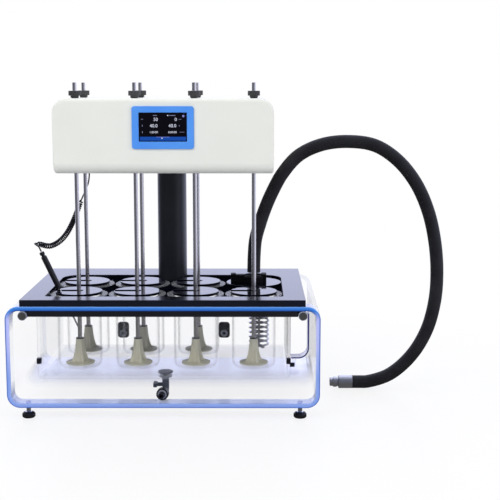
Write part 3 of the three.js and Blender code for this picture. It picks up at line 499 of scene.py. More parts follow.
# %% Make the metals
def ground_metal(name, dark, light, rough, mark, stretch):
    """Bare metal whose grinding marks are mark millimetres wide and drawn out along stretch."""
    material = new_finish(name)
    marks = grain(mark, detail=3.0, stretch=stretch)
    show(add("BsdfPrincipled", {
        "Base Color": ramp(marks, (0.3, dark), (0.7, light)), "Metallic": 1.0,
        "Roughness": rising(marks, 0.3, 0.7, *rough), "Normal": bumped(marks, 0.002),
    }))
    return material


bright_steel = ground_metal("ground stainless bar", "#d6d2cc", "#e0ddd8", (0.2, 0.26), 0.8, (8, 8, 1))
coil_steel = ground_metal("bent stainless tube", "#b4b3b4", "#d6d5d6", (0.14, 0.22), 1.0, (1, 1, 1))
turned_steel = ground_metal("turned grey steel", "#8c8c84", "#a3a29a", (0.3, 0.42), 0.8, (1, 12, 1))
zinc_plate = ground_metal("zinc-plated steel", "#b4b6b9", "#cfd1d4", (0.25, 0.38), 1.0, (1, 1, 1))
print("finishes with the metals:", len(bpy.data.materials))

# %% [markdown]
# ## Clear sheet and glass
# Clear pieces are drawn by their alpha: almost nothing where seen flat on, more where seen edge on,
# because there the eye looks through more of the material.

# %% Make the clear finishes
def power_of_facing(power):
    """0 where a surface faces the eye, 1 where it is seen edge on, bent by a power."""
    return maths("POWER", add("LayerWeight", {"Blend": 0.5}, "Facing"), power)


def clear_finish(name, body, rim, flat_on, edge_on, power, rough):
    """Clear material: colour and alpha go from flat-on to edge-on values."""
    material = new_finish(name)
    share = power_of_facing(power)
    show(add("BsdfPrincipled", {
        "Base Color": ramp(share, (0.0, body), (1.0, rim)), "Roughness": rough, "IOR": 1.49,
        "Alpha": rising(share, low=flat_on, high=edge_on), "Normal": bumped(grain(60, detail=1.0), 0.05),
    }))
    return material


bath_acrylic = clear_finish("cast acrylic, clear", "#f4f6ff", "#9aa0bd", 0.01, 0.6, 10.0, 0.08)
# The bath's floor is drawn greyer and less clear than its walls.
greyer_bath_floor = clear_finish("cast acrylic, greyer on the bath floor", "#e9ecf8", "#c3c9dd", 0.08, 0.5, 4.0, 0.2)
bath_edge = clear_finish("cast acrylic, glued edge", "#b9bdcf", "#a3a8bd", 0.35, 0.8, 2.0, 0.15)
vessel_glass = clear_finish("borosilicate glass", "#f7f9ff", "#5c6172", 0.008, 1.0, 7.0, 0.04)
strip_acrylic = clear_finish("tinted acrylic strip", "#cfd2fa", "#c3c6f2", 0.6, 0.1, 4.0, 0.1)
stand_acrylic = clear_finish(
    "cast acrylic, with a painted blue glow at its cut edges", "#eef1ff", "#b9c0ee", 0.01, 0.4, 12.0, 0.1)

# %% [markdown]
# Light that enters the stand's sheet runs inside it and leaves at the cut edges, which look blue. That glow
# is painted into the sheet's colour, deeper blue in the lower part of the hoop, and the painted glow ends
# about
# 40 mm behind the edges. How deep a point lies under the outer skin comes from the distance
# tint ends about 40 mm behind them. How deep a point lies under the outer skin comes from the distance
# to a rounded rectangle, sqrt(max(u, 0)^2 + max(v, 0)^2) + min(max(u, v), 0) - bend, with u and v the
# distances past the centres of the bends. The shader works in metres.

# %% Paint the glow at the stand's edges
stand_low, stand_high = box_of("stand_hoop")
sheet, bend, glow_depth = 10, 30, 40
inputs = now.inputs
low, high = stand_low * MM, stand_high * MM
middle, half = (low + high) / 2, (high - low) / 2 - bend * MM
x, y, z = add("SeparateXYZ", {0: now.place}).node.outputs
u = maths("SUBTRACT", maths("ABSOLUTE", x), half[0])
v = maths("SUBTRACT", maths("ABSOLUTE", maths("SUBTRACT", z, middle[2])), half[2])
outside = add("CombineXYZ", {0: maths("MAXIMUM", u), 1: maths("MAXIMUM", v)})
outside = add("VectorMath", {0: outside}, "Value", operation="LENGTH")
skin = maths("ADD", outside, maths("MINIMUM", maths("MAXIMUM", u, v)))
depth = maths("DIVIDE", maths("SUBTRACT", bend * MM, skin), sheet * MM)
# The painted glow's colours at the cut edges, by depth under the skin: lower, upper and top sheets.
upper_edge = ramp(depth, (0.0, "#2f55a8"), (0.16, "#3f68c0"), (0.3, "#b3bdfa"), (1.0, "#c8ceff"))
lower_edge = ramp(depth, (0.0, "#2a4fa2"), (0.12, "#3c66c4"), (0.26, "#86a4ee"), (1.0, "#9cb6f2"))
top_edge = ramp(depth, (0.0, "#79a9ee"), (0.3, "#3f86e0"), (0.7, "#2f6cc6"), (1.0, "#173a80"))
at_top = rising(z, high[2] - bend * MM, high[2] - sheet * MM)
at_middle = rising(z, low[2] + 0.3 * (high[2] - low[2]), middle[2] + bend * MM)
cut_edge = mixed(at_top, mixed(at_middle, lower_edge, upper_edge), top_edge)
from_edge = maths("SUBTRACT", high[1], maths("ABSOLUTE", y))
inward = maths("DIVIDE", from_edge, glow_depth * MM)
# The painted glow's colours on the faces just behind the edges, paler on the upper sheets.
lower_behind = ramp(inward, (0.0, "#7f9df0"), (1.0, "#93aaf4"))
upper_behind = ramp(inward, (0.0, "#a3b4fa"), (1.0, "#c9d0ff"))
behind = mixed(at_middle, lower_behind, upper_behind)
on_edge = maths("LESS_THAN", from_edge, 0.9 * MM)
zone = rising(from_edge, (glow_depth + 3) * MM, (glow_depth - 3) * MM)
plain = inputs["Base Color"].links[0].from_socket
# tinted: the sheet's own colour, with the painted glow laid over it near the front and rear edges.
tinted = mixed(zone, plain, mixed(on_edge, behind, cut_edge))

# %% [markdown]
# That painted glow shows in the sheets that lie flat, and only faintly in the sides and at the rear. Seen
# at a low angle, the rear of the lower sheet mirrors the pale room; there it is also painted a pale
# reflection colour and made less clear, so the feet under it fade.

# %% Show the painted glow and the painted reflection
lying = maths(
    "MAXIMUM", rising(z, low[2] + 2 * bend * MM, low[2] + bend * MM),
    rising(z, high[2] - 2 * bend * MM, high[2] - bend * MM))
strength = maths("MAXIMUM", rising(lying, low=0.1, high=0.72), on_edge)
strength = maths("MULTIPLY", strength, rising(maths("GREATER_THAN", y, 0.0), low=1.0, high=0.15))
low_sheet = rising(z, low[2] + bend * MM, low[2] + sheet * MM)
gleam = maths("MULTIPLY", low_sheet, rising(y, -50 * MM, 100 * MM))
# Painted reflection: the rear of the lower sheet is coloured pale grey and, below, made less clear, as the
# room it mirrors would make it.
tinted = mixed(gleam, tinted, linear("#e4e5ea"))
gleam = maths("MULTIPLY", gleam, power_of_facing(1.0))
seen = maths("MAXIMUM", inputs["Alpha"].links[0].from_socket, maths("MULTIPLY", zone, strength))
seen = maths("MAXIMUM", seen, gleam)
for name, socket in (("Base Color", tinted), ("Metallic", gleam), ("Alpha", seen)):
    now.tree.links.new(socket, inputs[name])
print("the stand's finish has", len(now.tree.nodes), "nodes")

# %% [markdown]
# ## The display
# Under its cover glass a display is almost black when unlit, and its marks shine. So they are thin shapes
# of their own just in front of the glass.

# %% Make the display's finishes
display_glass = new_finish("display glass")
show(add("BsdfPrincipled", {
    "Base Color": ramp(grain(60, detail=0.0), (0.3, "#060408"), (0.7, "#09070f")),
    "Roughness": 0.2, "Specular IOR Level": 0.15,
}))


def lit_mark(name, colour, strength):
    """Light of one colour from the display's points."""
    material = new_finish(name)
    show(add("Emission", {"Color": linear(colour), "Strength": strength}))
    return material


mark_white = lit_mark("lit white points", "#e8ecff", 0.9)
mark_grey = lit_mark("lit grey points", "#8d93b5", 0.7)
mark_blue = lit_mark("lit blue points", "#1d4fae", 0.9)
mark_lavender = lit_mark("lit lavender points", "#8f95e0", 0.8)
print("finishes in all:", len(bpy.data.materials))

# %% [markdown]
# ## Hose and cord
# The two flexible pieces come first, because they decide how much room the object takes. A foam-covered
# coolant hose arches out of the eighth place and is laid down to its coupling. Its route is the frame's
# own, and the note about it is in metres.

# %% Lay the coolant hose
coil_axis = middle_of("coil_holder")
plate_top = box_of("vessel_plate")[1][2]
hose_radius = 16
hose_rise = np.array([
    (0, 0, 21.7), (1, 0, 63), (4.5, 0, 103), (14.5, 0.5, 140), (27, 1, 177),
    (44.5, 1.5, 218), (70.5, 2.5, 265), (109.5, 4.5, 308), (166, 6.5, 334), (232, 8.5, 341),
]) + (coil_axis[0], coil_axis[1], plate_top)
hose_fall = np.array([
    (296, 10.5, 608), (352, 12.5, 571), (397, 14.5, 515), (428, 15.5, 447), (446, 16.5, 372),
    (453, 16.5, 295), (449, 16.5, 222), (430, 16.5, 148), (392, 16.5, 83), (339, 16.5, 36),
    (285, 16.5, 18), (266, 16.5, 17.3), (247, 16.5, 17.3),
]) + (coil_axis[0], coil_axis[1], 0)
hose_path, hose_length = evenly(smooth_route(np.vstack([hose_rise, hose_fall]), 24), 260)
hose = make_piece(
    "foam_hose", swept(hose_path, (0, 1, 0), hose_radius, 40), [nitrile_foam], "rubber", "coolant_hose",
    even=False)

low, high = box_of("hose_coupling")
reach, radius = high[0] - low[0], (high[2] - low[2]) / 2
coupling_profile = np.array([
    (0, 0), (0.66, 0), (0.66, 0.12), (0.8, 0.16), (0.8, 0.3), (0.7, 0.32), (0.7, 0.36), (1, 0.4), (1, 1),
    (0, 1),
]) * (radius, reach)
grip = flutes(24, 0.5, lambda r, h: (r > 0.95 * radius) & (h > 0.5 * reach) & (h < 0.95 * reach))
coupling = make_piece(
    "hose_coupling_turned",
    turned(coupling_profile, 96, 1, ripple=grip, turn=to_right,
           place=(low[0], hose_path[-1][1], (high[2] + low[2]) / 2)),
    [zinc_plate], "dark_steel", "hose_coupling")
print("hose", round(hose_length), "mm")

# %% [markdown]
# A curly cord is wire wound on a rod and baked. So its path is a helix about a route that sags from the
# gland under the head and loops over to the probe's top. It opens from nothing over its first turn and
# closes over its last, where the plain wire goes on.

# %% Wind the curly cord
probe_place = np.array([*middle_of("vessel_1")[:2], plate_top])
wire_radius, curl_radius, curl_pitch, curl_steps = 1.8, 5.2, 5.6, 16
cord_route = np.array([
    (4.75, 169, 265.4), (4.75, 169, 256), (2, 168, 238), (-6, 163, 217), (-14, 154, 197),
    (-22, 137, 171), (-31, 113, 144), (-42, 87, 121), (-56, 61, 106), (-71, 42, 99.8),
    (-80, 31, 101.5), (-88, 23.2, 105), (-94, 18.9, 107.5), (-98.8, 15.3, 109.3), (-101.3, 12.3, 110),
    (-102, 8, 110), (-100.1, 3.2, 109), (-95.9, 0.1, 107), (-91.1, -1.8, 103.6),
    (-88.2, -2.7, 98.3), (-85.65, -3, 92.6),
]) + probe_place
span_steps = 40
first_curl, last_curl = 4 * span_steps, 13 * span_steps  # the curls' first and last place on the line
cord_line = smooth_route(cord_route, span_steps)
curled, curled_length = evenly(cord_line[first_curl:last_curl + 1], 2000)
curls = round(curled_length / curl_pitch)
curled, _ = evenly(curled, curls * curl_steps + 1)
cord_side = np.array([0.83, -0.55, 0.0])  # square to the plane in which the cord hangs
along = unit(np.gradient(curled, axis=0))
across = unit(cord_side - (along @ cord_side)[:, None] * along)
step = np.arange(len(curled))
opening = np.clip(np.minimum(step, step[::-1]) / curl_steps, 0, 1) * curl_radius
turn = 2 * np.pi * step[:, None] / curl_steps
radial = np.cos(turn) * across + np.sin(turn) * np.cross(along, across)
cord_path = np.vstack([
    cord_line[:first_curl:8], curled + opening[:, None] * radial, cord_line[last_curl + 8::8]])
cord = make_piece(
    "curly_cord", swept(cord_path, cord_side, wire_radius, 10), [cord_jacket], "cord", "probe_cord",
    "head", even=False)

# %% [markdown]
# ## The probe
# A steel rod reaches into the first vessel, and its moulded handle leans out of the cover's slot. It is
# turned upright and then leaned, by the rotation that takes +Z to the line from tip to top.

# %% Lean the probe
probe_tip = probe_place + (2.15, 7.6, -103.3)
probe_line = probe_place + (-85.25, -3, 91.7) - probe_tip
probe_length = np.linalg.norm(probe_line)
nose = probe_length * (plate_top + 3.7 - probe_tip[2]) / probe_line[2]
probe_profile = [(0, 0), (2, 0), (2, nose), (5.6, nose), (6.6, nose + 3), (6.8, nose + 36)] + [
    (radius, probe_length - below) for radius, below in (
        (6.8, 12), (4.2, 10.5), (4.2, 8), (5.8, 7), (5.8, 1), (4, 0), (0, 0))
]
lean = Vector((0, 0, 1)).rotation_difference(Vector(probe_line)).to_matrix()
make_piece(
    "leaning_probe", turned(probe_profile, 48, 0.9, 4, place=probe_tip, turn=lean),
    [cord_jacket, bright_steel], "cord", "temperature_probe", "head",
    lambda x, y, z: (np.stack([x, y, z], axis=1) - probe_tip) @ (probe_line / probe_length) < nose - 0.5)

# %% [markdown]
# ## The light and the floor
# Plain soft studio light: a large lamp above and in front, a weaker one at the right, one on top, and a
# pale world. The camera sees white all round. Mirror rays see a room that is dark in front and bright
# behind and at the right, which keeps black pieces black. All of it is in metres.

# %% Light the scene
scene.view_settings.view_transform = "Standard"
scene.cycles.transparent_max_bounces = 32
scene.cycles.transmission_bounces = 20
scene.cycles.max_bounces = 24

world = bpy.data.worlds.new("pale room")
world.use_nodes = True
scene.world = world
now.tree = world.node_tree
now.tree.nodes.clear()


def straight_rays(path):
    """1 for rays that come straight from the camera or through clear material."""
    return maths("MAXIMUM", path["Is Camera Ray"], path["Is Transmission Ray"])


x, y, z = add("SeparateXYZ", {0: add("TexCoord")}).node.outputs
room = maths("MAXIMUM", rising(y, -0.6, 0.5, 0.25, 1.7), rising(x, 0.3, 0.8, 0.0, 1.1))
room = maths("MULTIPLY", room, rising(x, -0.95, -0.5, 0.2, 1.0))
mirrored, dim, white = (
    add("Background", {"Color": colour, "Strength": strength})
    for colour, strength in ((linear("#dfe3ff"), room), (linear("#f4f6ff"), 0.5), ((1, 1, 1, 1), 1.0)))
path = add("LightPath").node.outputs
behind_all = add("MixShader", {0: path["Is Glossy Ray"], 1: dim, 2: mirrored})
chosen = add("MixShader", {0: straight_rays(path), 1: behind_all, 2: white})
add("OutputWorld", {"Surface": chosen})

for name, place, target, size, power in (
    ("key", (-1.2, -2.4, 2.2), (0.0, 0.0, 0.35), 1.8, 39),
    ("fill", (2.2, -1.6, 1.2), (0.1, 0.0, 0.3), 1.8, 16),
    ("top", (0.0, 0.3, 2.6), (0.0, 0.0, 0.3), 2.0, 18),
):
    lamp = bpy.data.lights.new(name, "AREA")
    lamp.size, lamp.energy = size, power
    holder = bpy.data.objects.new(name, lamp)
    holder.location = place
    holder.rotation_euler = (Vector(target) - Vector(place)).to_track_quat("-Z", "Y").to_euler()
    holder.visible_glossy = False  # the room's own gradient makes the highlights
    scene.collection.objects.link(holder)
print("lamps:", len(bpy.data.lights))

# %% [markdown]
# The bench is a thin disc of white laminate. It glows white for the camera, a little less near the
# object, and keeps the soft shadow. Mirror rays see it dim, so that low edges don't wash out.

# %% Lay the floor
floor = solid("floor", bar(1600, -20, -0.2, 64))
floor_finish = new_finish("white bench laminate")
distance = add("VectorMath", {0: now.place}, "Value", operation="LENGTH")
path = add("LightPath").node.outputs
glow = maths("MULTIPLY", straight_rays(path), rising(distance, 0.5, 1.2, 0.82, 1.0))
glow = maths("MAXIMUM", glow, path["Is Glossy Ray"])
laminate = add("BsdfPrincipled", {
    "Base Color": ramp(grain(400), (0.3, "#f5f6f8"), (0.7, "#f9fafc")), "Roughness": 0.35,
})
strength = rising(path["Is Glossy Ray"], low=1.0, high=0.15)
lit = add("Emission", {"Color": (1, 1, 1, 1), "Strength": strength})
show(add("MixShader", {0: glow, 1: laminate, 2: lit}))
floor.data.materials.append(floor_finish)

# %% [markdown]
# ## Cutting one shape out of another
# A hollow casing with a window is hard to write as one grid. It is easier to make the outside and punch
# out the rest, which the Boolean modifier does. Its result is stored, so that nothing stays live.

# %% Take cutters out of a piece
def read_back(holder):
    """The (points, faces) of an object with its modifiers applied, after which it is removed."""
    mesh = holder.evaluated_get(bpy.context.evaluated_depsgraph_get()).to_mesh()
    points = np.empty(3 * len(mesh.vertices))
    mesh.vertices.foreach_get("co", points)
    faces = [list(polygon.vertices) for polygon in mesh.polygons]
    bpy.data.batch_remove([holder, holder.data])
    return points.reshape(-1, 3) / MM, faces


def carve(shape, *cutters):
    """The shape less all cutters, by exact booleans applied at once."""
    blank, *tools = [solid("cutting", part) for part in (shape, *cutters)]
    for tool in tools:
        step = blank.modifiers.new(tool.name, "BOOLEAN")
        step.operation, step.solver, step.object = "DIFFERENCE", "EXACT", tool
    result = read_back(blank)
    for tool in tools:
        bpy.data.batch_remove([tool, tool.data])
    return result


# %% [markdown]
# ## The stand
# A long sheet of 10 mm acrylic is warmed and bent round into a closed hoop. The hoop's outline is given
# the stand's depth, and an opening for the bath and four holes for the feet are cut out of it.

# %% Bend the stand
clearance = 0.3
hoop_inside = rectangle(stand_low[[0, 2]] + sheet, stand_high[[0, 2]] - sheet, bend - sheet, steps=14)
stand_arris = 0.8
hoop = box(stand_low, stand_high, bend, stand_arris, upright, [hoop_inside], steps=14)
bath_low, bath_high = box_of("water_bath")
opening = box(
    (*(bath_low[:2] - clearance), stand_high[2] - 1.5 * sheet),
    (*(bath_high[:2] + clearance), stand_high[2] + sheet))
feet = [middle_of(f"foot_{i}") for i in range(1, 5)]
stud_radius, stud_play = 5, 0.8
stud_holes = [
    bar(stud_radius + stud_play, stand_low[2] - sheet, stand_low[2] + 1.5 * sheet, place=foot[:2])
    for foot in feet
]
make_piece("hoop", carve(hoop, opening, *stud_holes), [stand_acrylic], "acrylic", "stand_hoop")

# %% [markdown]
# A bent strip of thinner, tinted sheet with a nearly navy edge stands at the right of the bath. It is a
# flat outline too: two straight lines joined by concentric arcs.

# %% Bend the strip at the right
strip_low, strip_high = box_of("side_bracket")
strip_thick, strip_bend = 3, 22
(left, _, foot), (right, _, top) = strip_low, strip_high
strip_line = [
    (left, foot), (right, foot), (right, top), (right - strip_thick, top),
    (right - strip_thick, foot + strip_thick), (left, foot + strip_thick),
]
strip_outline = soften(strip_line, [0, strip_bend + strip_thick, 0, 0, strip_bend, 0], 12)
make_piece(
    "bent_strip", slab(strip_outline, strip_low[1], strip_high[1], axes=upright),
    [strip_acrylic, navy_edge], "acrylic", "side_bracket", zones=lambda x, y, z: y < strip_low[1] + 0.6)

# %% [markdown]
# ## The levelling feet
# Each foot is a moulded disc on a steel stud, gripped between two fingers, so its rim is fluted. The
# profile starts on the axis underneath, runs up the outside and ends on the axis.

# %% Turn the feet
foot_radius, foot_high, stud_top = 15, 14, box_of("foot_1")[1][2]
foot_profile = [
    (0, 0), (12.5, 0), (foot_radius, 2.5), (foot_radius, 9), (11.5, 12.5), (8, foot_high),
    (stud_radius, foot_high), (stud_radius, stud_top), (0, stud_top),
]
on_rim = flutes(24, 0.5, lambda r, h: np.clip((r - 0.85 * foot_radius) / (0.1 * foot_radius), 0, 1))
for i, foot in enumerate(feet, 1):
    make_piece(
        f"levelling_disc_{i}", turned(foot_profile, 96, 1.2, ripple=on_rim, place=foot[:2]),
        [soft_rubber, zinc_plate], "rubber", f"foot_{i}", f"levelling_foot_{i}",
        lambda x, y, z: z > foot_high - 0.5)

# %% [markdown]
# ## The water bath
# A tank of clear sheet hangs through the stand. It is bent up from one piece, so its lower side edges are
# round, and its front and rear walls are glued on. Its floor is drawn greyer and less clear than its walls.

# %% Form the bath
bath_wall, bath_bend = 6, 14
bath_floor = bath_low[2] + bath_wall
bath_outside = box(bath_low, bath_high, [bath_bend, bath_bend, 0, 0], 1.5, upright, steps=8)
bath_inside = box(
    bath_low + bath_wall, bath_high + (-bath_wall, -bath_wall, bath_wall),
    [bath_bend - bath_wall, bath_bend - bath_wall, 0, 0], 0.4, upright, steps=8)
drain_low, drain_high = box_of("drain_body")
flange_radius, drain_hole_radius, port_hole_radius = 17, 6.8, 8.8
drain_at = np.array([0.0, drain_high[1] - flange_radius])
drain_hole = bar(drain_hole_radius, bath_low[2] - bath_wall, bath_floor + bath_wall, place=drain_at)
ports = {side: middle_of(f"bath_port_{side}") for side in ("left", "right")}
port_holes = [
    bar(port_hole_radius, -bath_wall, 2 * bath_wall, place=(x, bath_high[1] - bath_wall, z), turn=to_rear)
    for x, _, z in ports.values()
]


def bath_zones(x, y, z):
    front_edge = (y < bath_low[1] + 1.4) & (y > bath_low[1] + 0.05)
    return np.select([front_edge, z < bath_floor + 0.5], [2, 1], 0)


make_piece(
    "bath", carve(bath_outside, bath_inside, drain_hole, *port_holes), [bath_acrylic, greyer_bath_floor, bath_edge],
    "acrylic", "water_bath", zones=bath_zones)

# %% [markdown]
# Two small black blocks hold the bath's front corners, the right one with a thumb screw at its side.

# %% Clamp the bath's corners
clamp_wide, clamp_tall, screw_radius, screw_drop = 10, 13, 5, 2.5
for side in ("left", "right"):
    low, high = box_of(f"bath_clamp_{side}")
    left = low[0] if side == "left" else bath_high[0] - clamp_wide
    clamp = box((left, low[1], high[2] - clamp_tall), (left + clamp_wide, high[1], high[2]), 1, 0.8)
    if side == "right":
        clamp = joined(clamp, bar(
            screw_radius, -2, 9, 64, soft=0.8, turn=to_right,
            ripple=flutes(16, 0.35, lambda r, h: r > 0.9 * screw_radius),
            place=(bath_high[0], (low[1] + high[1]) / 2, high[2] - clamp_tall - screw_drop)))
    make_piece(f"corner_clamp_{side}", clamp, [black_abs], "black_plastic", f"bath_clamp_{side}")

# %% [markdown]
# ## The vessel plate
# A thick black plate with a sunk middle carries the vessels. Its border and its thinner floor are two
# slabs that share the recess's outline, which bulges at the back round the column's foot.

# %% Mill the plate
plate_low, plate_high = box_of("vessel_plate")
stations = [middle_of(f"vessel_{i}") for i in range(1, 8)]
column_at = middle_of("column")
recess_sink, pocket_radius, vessel_hole, column_foot = 9, 36.8, 51.8, 29
recess_floor = plate_high[2] - recess_sink
recess_low = stations[0][:2] - (67.9, 73.9)
recess_high = np.array([stations[3][0] + 67.9, stations[4][1] + 84.5])
recess = rectangle(recess_low, recess_high, [10, 10, 45, 45], steps=12)
bulge_start = math.asin((recess_high[1] - column_at[1]) / pocket_radius)
bulge = arc(pocket_radius, np.linspace(bulge_start, math.pi - bulge_start, 25), column_at)
rear_right = np.flatnonzero((recess[:, 1] > recess_high[1] - 1e-3) & (recess[:, 0] > 0))[-1]
recess = np.vstack([recess[:rear_right + 1], bulge, recess[rear_right + 1:]])
border = box(plate_low, plate_high, 2, 0.8, holes=[recess])
holes = [circle(place, vessel_hole) for place in [*stations, coil_axis]]
holes.append(circle(column_at, column_foot))
recess_bottom = slab(recess, plate_low[2], recess_floor, holes, 0.4)


def plate_zones(x, y, z):
    """1 for the top of the sunk floor, 0 elsewhere."""
    flat = np.stack([x, y], axis=1)
    return np.all((flat > recess_low + 1) & (flat < recess_high - 1), axis=1) & (z < recess_floor + 0.3)


make_piece(
    "milled_plate", joined(border, recess_bottom), [milled_phenolic, cut_phenolic], "black_plate",
    "vessel_plate", zones=plate_zones)

# %% [markdown]
# ## Vessels and their covers
# A vessel is a glass jar with a rounded heel and a wide flat rim by which it hangs in the plate. Its
# profile goes up the outside and back down the inside, so that the wall has its real thickness.

# %% Blow the vessels
def make_seven(name, shape, finishes, slot, replaces, body="root", **more):
    """One piece at each vessel's place, with the place's number for each # in the names."""
    for i, place in enumerate(stations, 1):
        called, node, carrier = (word.replace("#", str(i)) for word in (name, replaces, body))
        make_piece(called, moved(shape, place[:2]), finishes, slot, node, carrier, **more)


(left, _, foot), (right, _, top) = box_of("vessel_1")
outer, wall, heel, rim = 51, 2.5, 12, (right - left) / 2
vessel_profile = [
    (0, foot), (outer, foot), (outer, top - wall), (rim, top - wall), (rim, top), (outer - wall, top),
    (outer - wall, foot + wall), (0, foot + wall),
]
vessel_bends = [0, heel, 1, 0.6, 0.6, 1, heel - wall, 0]
make_seven(
    "glass_vessel_#", turned(vessel_profile, 96, vessel_bends, 8), [vessel_glass], "vessel_glass",
    "vessel_#", even=False, crisp=50)

# %% [markdown]
# A cover is a black disc, slotted from its left edge to the shaft, so that it can be pulled off sideways.
# Its outline runs round the circle and in and out again by way of the slot's throat.

# %% Cut the covers
low, high = box_of("cover_1")
cover_radius = high[0] - stations[0][0]
slot_half = 10
slot_angle = math.asin(slot_half / cover_radius)
cover_outline = np.vstack([
    arc(cover_radius, np.linspace(slot_angle - math.pi, math.pi - slot_angle, 97)),
    arc(slot_half, np.linspace(math.pi / 2, -math.pi / 2, 19)),
])
make_seven(
    "slotted_cover_#", slab(cover_outline, low[2], high[2]), [polished_black], "black_plate", "cover_#",
    "lid_#")

# %% [markdown]
# ## Shafts and knobs
# Each shaft is a 10 mm bar that passes right through the head, with a sleeve and a pulley inside and a
# square-cut knob on top. Only the radius changes, so one profile does.

# %% Turn the shafts
shaft_low, shaft_high = box_of("shaft_1")
head_low, head_high = box_of("head_cover")
bar_radius, sleeve_radius, pulley_radius, collar_radius, knob_radius = 5, 7.5, 20, 9.5, 14
sleeve_foot, pulley_foot, pulley_top = head_low[2] + (27, 81, 93)
collar_foot, knob_foot, knob_top = head_high[2] + (1.5, 6, 17)
shaft_profile = stepped(
    shaft_low[2], (bar_radius, sleeve_foot), (sleeve_radius, pulley_foot), (pulley_radius, pulley_top),
    (sleeve_radius, collar_foot), (collar_radius, knob_foot), (knob_radius, knob_top),
    (bar_radius, shaft_high[2]))


def knob_flutes(angle, radius, height):
    on_knob = (radius > knob_radius - 1) & (radius < knob_radius + 2) & (height > knob_foot)
    return -0.9 * on_knob * (np.cos(20 * angle) > 0.3)


def shaft_zones(x, y, z):
    """Steel below and at the tip, black sleeve and pulley inside, grey knob on top."""
    return np.select([z > knob_top + 0.1, z > head_high[2] + 1, z > sleeve_foot - 0.1], [0, 1, 2], 0)


make_seven(
    "stirrer_shaft_#", turned(shaft_profile, 80, 0.7, 3, knob_flutes),
    [bright_steel, knob_plastic, black_abs], "steel", "shaft_#", "stirrer_#", zones=shaft_zones)

# %% [markdown]
# ## Agitators
# A slim hub flares to a thin round skirt, and four curved vanes rise from the skirt to the hub. Both are
# exponential curves of the height. The vanes are where cos 4a comes near 1, which makes narrow ribs.

# %% Mould the agitators
agitator_foot, agitator_top = (corner[2] for corner in box_of("agitator_1"))
hub_radius, skirt_radius, bore_deep = 9.5, 33.5, 20
skirt_thick = 0.055  # as a share of the height
vane_turn = math.radians(25)


def agitator_shape(rings=40, sides=192):
    """Radius = hub + flare (s exp(-t / 0.02) + (1 - s) exp(-t / d)), with t the share of the height above
    the skirt. On the vanes s = 0.45 and d = 0.36, between them s = 0.8 and d = 0.15."""
    angle = round_angles(sides)[None, :]
    share = np.linspace(0, 1, rings)[:, None] ** 1.3
    step = np.clip((np.cos(4 * (angle - vane_turn)) - 0.45) / 0.45, 0, 1)
    vane = step ** 2 * (3 - 2 * step)
    skirt_part, decay = 0.8 - 0.35 * vane, 0.15 + 0.21 * vane
    curve = skirt_part * np.exp(-share / 0.02) + (1 - skirt_part) * np.exp(-share / decay)
    flare = hub_radius + (skirt_radius - hub_radius) * curve * (1 - share ** 6)
    skirt = np.array([skirt_radius - 1, skirt_radius, skirt_radius])[:, None] + 0 * angle
    radius = np.vstack([skirt, flare, np.full((2, sides), bar_radius + clearance)])
    below, above = np.array([0.0, 0.35, 0.8]) * skirt_thick, share[:, 0] * (1 - skirt_thick) + skirt_thick
    height = agitator_foot + (agitator_top - agitator_foot) * np.concatenate([below, above])
    height = np.concatenate([height, [agitator_top, agitator_top - bore_deep]])[:, None] + 0 * angle
    grid = np.stack([radius * np.cos(angle), radius * np.sin(angle), height], axis=2)
    return capped(grid, (0, 0, agitator_foot), (0, 0, agitator_top - bore_deep))


make_seven(
    "vaned_agitator_#", agitator_shape(), [beige_polymer, black_abs], "cream_plastic", "agitator_#",
    "stirrer_#", crisp=45, zones=lambda x, y, z: z > agitator_top - 1.5)

# %% [markdown]
# ## The column
# A black coated tube stands on the plate, and a second one slides in it and carries the head. The outer
# one is smooth, so it needs many sides for its long highlight.

# %% Raise the column
(left, _, foot), (right, _, top) = box_of("column")
column_radius, column_wall = (right - left) / 2, 7
bore = column_radius - column_wall
column_profile = [(bore, foot), (column_radius, foot), (column_radius, top), (bore, top)]
make_piece(
    "column_tube", turned(column_profile, 128, 0.8, 3, place=column_at[:2]), [black_powder_coat],
    "black_metal", "column")

# %% [markdown]
# ## The drive head
# The white casing is a folded steel shell with wide round shoulders and a round lower front edge. It is a
# row of rounded rectangles from front to rear whose bottom and top follow quarter circles near the
# ends. The same function, drawn in by the wall, gives the inside.

# %% Fold the casing
casing_wall = 3
edge_radii = {"shoulder": 32, "heel": 6, "crown": 8, "under": 26, "cheek": 3}


def rounding(distance, radius):
    """How far a quarter circle of that radius stands back at a distance from the end face."""
    left = np.clip(radius - distance, 0, radius)
    return radius - math.sqrt(radius ** 2 - left ** 2) if left > 0 else 0.0


def casing(inset):
    """Rounded rectangles at y, with z from low + rounding(under) to high - rounding(crown)."""
    low, high = head_low + inset, head_high - inset
    radii = {edge: max(radius - inset, 0.5) for edge, radius in edge_radii.items()}
    bow = 1 - np.cos(np.linspace(0, np.pi / 2, 9))
    bends = np.concatenate([radii[edge] * bow for edge in ("crown", "under", "cheek")])
    back = np.unique(np.round(bends, 4))
    rings = []
    for y in np.concatenate([low[1] + back, (high[1] - back)[::-1]]):
        depth = min(y - low[1], high[1] - y)
        bottom = low[2] + rounding(depth, radii["under"])
        top = high[2] - rounding(depth, radii["crown"])
        half = high[0] - rounding(depth, radii["cheek"])
        corner = [radii["heel"]] * 2 + [radii["shoulder"]] * 2
        ring = rectangle((-half, bottom), (half, top), corner, steps=12)
        rings.append(np.column_stack([ring[:, 0], np.full(len(ring), y), ring[:, 1]]))
    sides = len(rings[0])
    points = np.vstack(rings)
    faces = [face[::-1] for face in quads(len(rings), sides)]
    last = len(points) - 1
    return points, faces + [list(range(sides)), list(range(last, last - sides, -1))]


